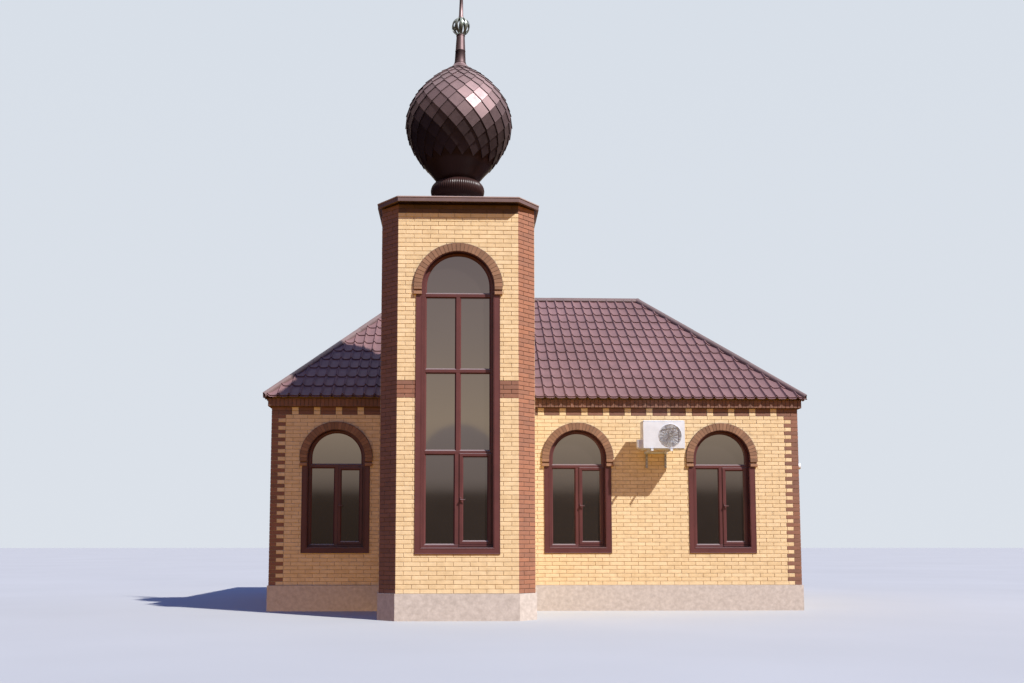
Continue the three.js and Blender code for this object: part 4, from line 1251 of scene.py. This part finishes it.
# Cooling unit
UNIT_LEFT, UNIT_RIGHT, UNIT_FRONT, UNIT_REAR = 3.252, 3.988, -0.515, -0.205
UNIT_BOTTOM, UNIT_TOP = 2.837, 3.341
FAN, FAN_RADIUS, GUARD_RINGS, GUARD_SPOKES, BLADES = (3.728, 3.077), 0.2, 13, 16, 3
BRACKETS = (3.377, 3.717)
BRACKET_SEAT = UNIT_BOTTOM - 0.0003


def wire(r, depth):
    return circle((0, depth), r, 6)


def rounded(x0, x1, z0, z1, radius, steps=4):
    """A rectangle with round corners."""
    centres = rectangle(x0 + radius, x1 - radius, z0 + radius, z1 - radius)
    out = []
    for i, centre in enumerate(centres[1:] + centres[:1]):
        out += arc(centre, radius, (i - 1) * math.pi / 2, i * math.pi / 2, steps)
    return out


def shell_box(g, x0, x1, y0, y1, z0, z1, radius):
    """A case whose upright corners are rounded, with its top and bottom edges softened."""
    plan_loft(g, [(rounded(x0 + inset, x1 - inset, y0 + inset, y1 - inset, radius), z)
                  for z, inset in ((z0, 0.006), (z0 + 0.006, 0), (z1 - 0.006, 0), (z1, 0.006))])


def front_panel(g):
    """The unit's front with the fan's round opening."""
    left, right = UNIT_LEFT + 0.002, UNIT_RIGHT - 0.002
    outline = rounded(left, right, UNIT_BOTTOM + 0.014, UNIT_TOP - 0.02, 0.02, steps=9)
    around = sorted((math.atan2(z - FAN[1], x - FAN[0]), x, z) for x, z in outline)
    outline = [(x, z) for _, x, z in around]
    hole = [on_circle(FAN, FAN_RADIUS + 0.004, angle) for angle, _, _ in around]
    front, back = UNIT_FRONT, UNIT_FRONT + 0.03
    rings = ((outline, front + 0.004), (hole, front), (hole, back), (outline, back))
    g.add([(x, y, z) for path, y in rings for x, z in path], ring_faces(len(outline), 4, loop=True))


def valve_cover(g, x0, x1, y0, y1, z0, z1):
    """A moulded cover on the unit's side, its lower outer corner rounded off."""
    radius = 0.045
    outline = [(x1, z0), (x1, z1), (x0 + 0.012, z1), (x0 + 0.004, z1 - 0.004), (x0, z1 - 0.012)]
    outline += arc((x0 + radius, z0 + radius), radius, math.pi, 1.5 * math.pi, 6)
    mx, mz = np.mean(outline, axis=0)
    points = [(min(mx + (x - mx) * shrink, x1), y, mz + (z - mz) * shrink)
              for y, shrink in ((y0, 0.93), (y0 + 0.005, 1.0), (y1, 1.0)) for x, z in outline]
    g.add(points, ring_faces(len(outline), 3))


def build_unit():
    left, right, front, rear = UNIT_LEFT, UNIT_RIGHT, UNIT_FRONT, UNIT_REAR
    bottom, top = UNIT_BOTTOM, UNIT_TOP
    g = Gather()
    shell_box(g, left, right, front + 0.016, rear, bottom + 0.012, top - 0.018, 0.012)
    shell_box(g, left - 0.003, right + 0.003, front + 0.012, rear + 0.003, top - 0.018, top, 0.014)
    shell_box(g, left + 0.002, right - 0.002, front + 0.018, rear, bottom, bottom + 0.014, 0.012)
    front_panel(g)
    for k in range(7):
        z = bottom + 0.06 + 0.04 * k
        block(g, as_drawn, left - 0.002, left + 0.01, z, z + 0.012, front + 0.07, rear - 0.03, bevel=0.002)
    valve_cover(g, left - 0.088, left + 0.004, -0.44, -0.27, 2.847, 3.007)
    for x in BRACKETS:
        shell_box(g, x - 0.02, x + 0.06, front + 0.03, rear - 0.02, BRACKET_SEAT, bottom + 0.012, 0.012)
    make("cooling_unit_case", g, [CASE], ["cooling_unit"], smooth=30)


def build_fan():
    """The guard's rings and spokes, and the fan behind it. Its turned pieces are drawn as (radius, depth)."""
    front, last = UNIT_FRONT, GUARD_RINGS - 1
    g = Gather()
    for i in range(GUARD_RINGS):
        ring = circle(FAN, 0.02 + i * (FAN_RADIUS - 0.024) / last, 40)
        sweep(g, as_drawn, ring, wire(0.0026, front - 0.008 + 0.004 * (i / last) ** 3), closed=True)
    sweep(g, as_drawn, circle(FAN, FAN_RADIUS - 0.001, 56), wire(0.0045, front - 0.002), closed=True, slot=1)
    for spoke in zip(circle(FAN, 0.024, GUARD_SPOKES), circle(FAN, FAN_RADIUS, GUARD_SPOKES)):
        sweep(g, as_drawn, spoke, wire(0.0024, front - 0.0115))
    turned = {"centre": FAN, "sides": 40, "axis": 1}
    lathe(g, [(0.0, front - 0.013), (0.02, front - 0.012), (0.024, front - 0.008), (0.024, front - 0.004),
              (0.0, front - 0.003)], **turned)
    lathe(g, [(0.0, front + 0.05), (0.035, front + 0.05), (0.045, front + 0.06), (0.045, front + 0.12),
              (0.0, front + 0.12)], slot=2, **turned)
    for k in range(BLADES):
        blade(g, front + 0.075, 2 * math.pi * k / BLADES + 0.4, FAN_RADIUS - 0.02)
    rim = FAN_RADIUS
    lathe(g, [(0.0, front + 0.13), (rim - 0.002, front + 0.13), (rim, front + 0.006),
              (rim + 0.003, front + 0.006), (rim + 0.002, front + 0.14), (0.0, front + 0.14)],
          slot=2, **turned)
    make("cooling_unit_fan_guard", g, [WIRE, CASE, DARK], ["cooling_unit_guard"], smooth=35)


def blade(g, y, angle, reach, steps=6):
    """A fan blade, pitched and swept back."""
    points = []
    for i in range(steps + 1):
        t = i / steps
        r = 0.03 + (reach - 0.03) * t
        for w, d in ((-0.38, -0.018), (0.0, 0.0), (0.38, 0.02)):
            x, z = on_circle(FAN, r, angle + w * (0.9 + 0.35 * t) + 0.25 * t)
            points += [(x, y + d * (0.6 + t) + thick, z) for thick in (0.0, 0.003)]
    faces = []
    for a in range(0, steps * 6, 6):
        b = a + 6
        for m in (0, 2):
            faces += [(a + m, a + m + 2, b + m + 2, b + m), (a + m + 1, b + m + 1, b + m + 3, a + m + 3)]
        faces += [(a, b, b + 1, a + 1), (a + 4, a + 5, b + 5, b + 4)]
    for e in (0, steps * 6):
        faces += [(e, e + 1, e + 3, e + 2), (e + 2, e + 3, e + 5, e + 4)]
    g.add(points, faces, 2)


def build_bracket():
    """Folded angle arms on a rail screwed to the wall, with a row of small pale blocks on each rail."""
    g = Gather()
    seat, tip, fold = BRACKET_SEAT, UNIT_FRONT - 0.055, BRACKET_SEAT - 0.003
    for x in BRACKETS:
        for wide, z0, z1, y0, y1, slot in (
            (0.04, fold, seat, tip, -0.001, 0),
            (0.04, seat - 0.04, fold, tip - 0.002, tip + 0.001, 0),
            (0.003, seat - 0.04, fold, tip + 0.001, -0.001, 0),
            (0.04, seat - 0.3, seat - 0.04, -0.004, -0.001, 2),
            (0.003, seat - 0.3, seat - 0.04, -0.03, -0.004, 2),
        ):
            block(g, as_drawn, x, x + wide, z0, z1, y0, y1, bevel=0.0008, slot=slot)
        for k in range(4):
            z = seat - 0.266 + 0.068 * k
            block(g, as_drawn, x + 0.014, x + 0.028, z, z + 0.022, -0.0055, -0.0035, bevel=0.0006)
        for z in (seat - 0.288, seat - 0.15):
            screw = [(0.0, -0.012), (0.007, -0.012), (0.009, -0.008), (0.009, -0.004), (0.0, -0.003)]
            lathe(g, screw, (x + 0.021, z), 12, slot=2, axis=1)
        for y in (UNIT_FRONT + 0.05, -0.14):
            lathe(g, [(0.009, seat - 0.012), (0.009, fold)], (x + 0.021, y), 6, slot=2)
    block(g, as_drawn, BRACKETS[0] - 0.02, BRACKETS[1] + 0.06, seat - 0.04, seat - 0.0035, -0.008, -0.001,
          bevel=0.001)
    make("cooling_unit_bracket_arms", g, [CASE, DARK, STEEL], ["cooling_unit_bracket"])


def build_lamp():
    """A small round floodlight on a plate, looking out from the right wall."""
    g = Gather()
    plate = [(0.044, 0.0005), (0.046, 0.004), (0.044, 0.011), (0.03, 0.014), (0.02, 0.016)]
    body = [(0.02, 0.012), (0.02, 0.02), (0.05, 0.028), (0.058, 0.04), (0.06, 0.055), (0.06, 0.112),
            (0.056, 0.119), (0.052, 0.12), (0.05, 0.108)]
    lens = [(0.048, 0.1), (0.051, 0.104), (0.051, 0.109), (0.03, 0.113), (0.0, 0.114)]
    for profile, slot in ((plate, 0), (body, 0), (lens, 1)):
        lathe(g, [(r, HALL_RIGHT + out) for r, out in profile], (0.3, 2.6), 32, slot, axis=0)
    make("wall_lamp_body", g, [CASE, GLASS], ["wall_lamp"], smooth=35)


build_unit()
build_fan()
build_bracket()
build_lamp()


# Plain CAD solids that stay, with softened edges and their own finishes
def keep(node, material, bevel=0.008):
    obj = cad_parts[node]
    for s in obj.material_slots:
        s.material = material
    modifier = obj.modifiers.new("soft edges", "BEVEL")
    modifier.width, modifier.segments, modifier.limit_method = bevel, 2, "ANGLE"


for node in ("hall_plinth", "tower_plinth", "entrance_steps"):
    keep(node, RENDERING)
keep("floor_slab", SCREED, 0.003)


# Surroundings, light and camera. The windows mirror bands of tones by height. A round dim patch in
# them gives the tower's glass its dark arch. It lies around the direction PATCH and fades out over
# the two distances of PATCH_EDGE.
PATCH, PATCH_EDGE = (0.0, -0.997, 0.077), (0.036, 0.039)
BACKDROP = [(-0.1, (0.72, 0.76, 0.82)), (0.9, (0.66, 0.72, 0.8))]
LIGHT = [(-0.02, (0.76, 0.4, 0.06)), (0.02, (0.31, 0.34, 0.48)), (0.35, (0.08, 0.2, 0.58)),
         (0.9, (0.02, 0.12, 0.6))]
MIRRORED = [(-0.12, (0.03, 0.018, 0.013)), (0.046, (0.09, 0.062, 0.045)), (0.058, (0.4, 0.31, 0.25)),
            (0.115, (0.8, 0.62, 0.46)), (0.2, (0.6, 0.48, 0.42)), (0.29, (0.45, 0.36, 0.37)),
            (0.37, (0.24, 0.19, 0.21)), (0.5, (0.32, 0.27, 0.3)), (0.75, (1.2, 1.14, 1.18))]
MIRRORED_IN_PATCH = [(0.046, (0.09, 0.062, 0.045)), (0.058, (0.4, 0.32, 0.28)), (0.11, (0.5, 0.41, 0.38))]
GROUND_HALF = 400.0
SUN_STRENGTH, SUN_COLOUR, SUN_WIDTH = 6.4, (1.0, 0.985, 0.96), math.radians(1.2)
SUN_AZIMUTH, SUN_ELEVATION = math.radians(48), math.radians(47.2)
CAMERA_PLACE, CAMERA_UP, CAMERA_TURN = (-1.39, -22.2925, 1.16), math.radians(95.5), math.radians(-1.766)
CAMERA_LENS, CAMERA_WIDTH, CAMERA_SHIFT = 36.914, 36.0, (0.02, 0.10)


def build_world():
    """A pale backdrop for the camera, a soft sky and warm ground for the light, and what gloss mirrors."""
    world = bpy.data.worlds.new("studio")
    scene.world = world
    world.use_nodes = True
    t = Tree(world.node_tree)
    direction = t.new("ShaderNodeTexCoord").outputs["Generated"]
    height = t.axis(direction, 2)

    def band(value, stops):
        """Tones by height, from -1 straight down to 1 straight up."""
        return t.ramp(t.remap(value, -1, 1, 0, 1), [((at + 1) / 2, colour) for at, colour in stops])

    lower = t.new("ShaderNodeMath", operation="SUBTRACT")
    t.link(height, lower.inputs[0])
    t.link(t.remap(t.axis(direction, 0), -0.25, -0.8, 0.0, 0.5), lower.inputs[1])
    away = t.new("ShaderNodeVectorMath", operation="DISTANCE")
    away.inputs[1].default_value = PATCH
    t.link(direction, away.inputs[0])
    outside = t.remap(away.outputs["Value"], *PATCH_EDGE, 0.0, 1.0)
    gloss = t.mix(band(height, MIRRORED_IN_PATCH), band(lower.outputs[0], MIRRORED), outside)
    ray = t.new("ShaderNodeLightPath").outputs
    seen = t.mix(band(height, LIGHT), gloss, ray["Is Glossy Ray"])
    seen = t.mix(seen, band(height, BACKDROP), ray["Is Camera Ray"])
    t.link(seen, world.node_tree.nodes["Background"].inputs[0])


def build_ground():
    """A floor that the camera sees and that neither lights nor mirrors."""
    n = Paint("studio floor")
    colour = n.ramp(n.noise(0.15, 3.0), [(0.3, (0.37, 0.37, 0.365)), (0.7, (0.4, 0.4, 0.395))])
    mesh = bpy.data.meshes.new("floor")
    r = GROUND_HALF
    mesh.from_pydata([(-r, -r, 0), (r, -r, 0), (r, r, 0), (-r, r, 0)], [], [(0, 1, 2, 3)])
    mesh.materials.append(n.done(colour, 0.9))
    floor = linked("floor", mesh)
    floor.visible_diffuse = floor.visible_glossy = False


def build_light_and_camera():
    sun = bpy.data.lights.new("key", "SUN")
    sun.energy, sun.angle, sun.color = SUN_STRENGTH, SUN_WIDTH, SUN_COLOUR
    flat = math.cos(SUN_ELEVATION)
    towards = Vector((math.sin(SUN_AZIMUTH) * flat, -math.cos(SUN_AZIMUTH) * flat, math.sin(SUN_ELEVATION)))
    key = linked("key", sun)
    key.rotation_mode = "QUATERNION"
    key.rotation_quaternion = towards.to_track_quat("Z", "Y")
    camera = bpy.data.cameras.new("camera")
    camera.lens, camera.sensor_width, camera.clip_end = CAMERA_LENS, CAMERA_WIDTH, 2000
    camera.shift_x, camera.shift_y = CAMERA_SHIFT
    view = linked("camera", camera)
    view.location = CAMERA_PLACE
    view.rotation_euler = (CAMERA_UP, 0, CAMERA_TURN)
    scene.camera = view
    scene.view_settings.view_transform = "Standard"
    scene.view_settings.exposure = 0.0


build_world()
build_ground()
build_light_and_camera()
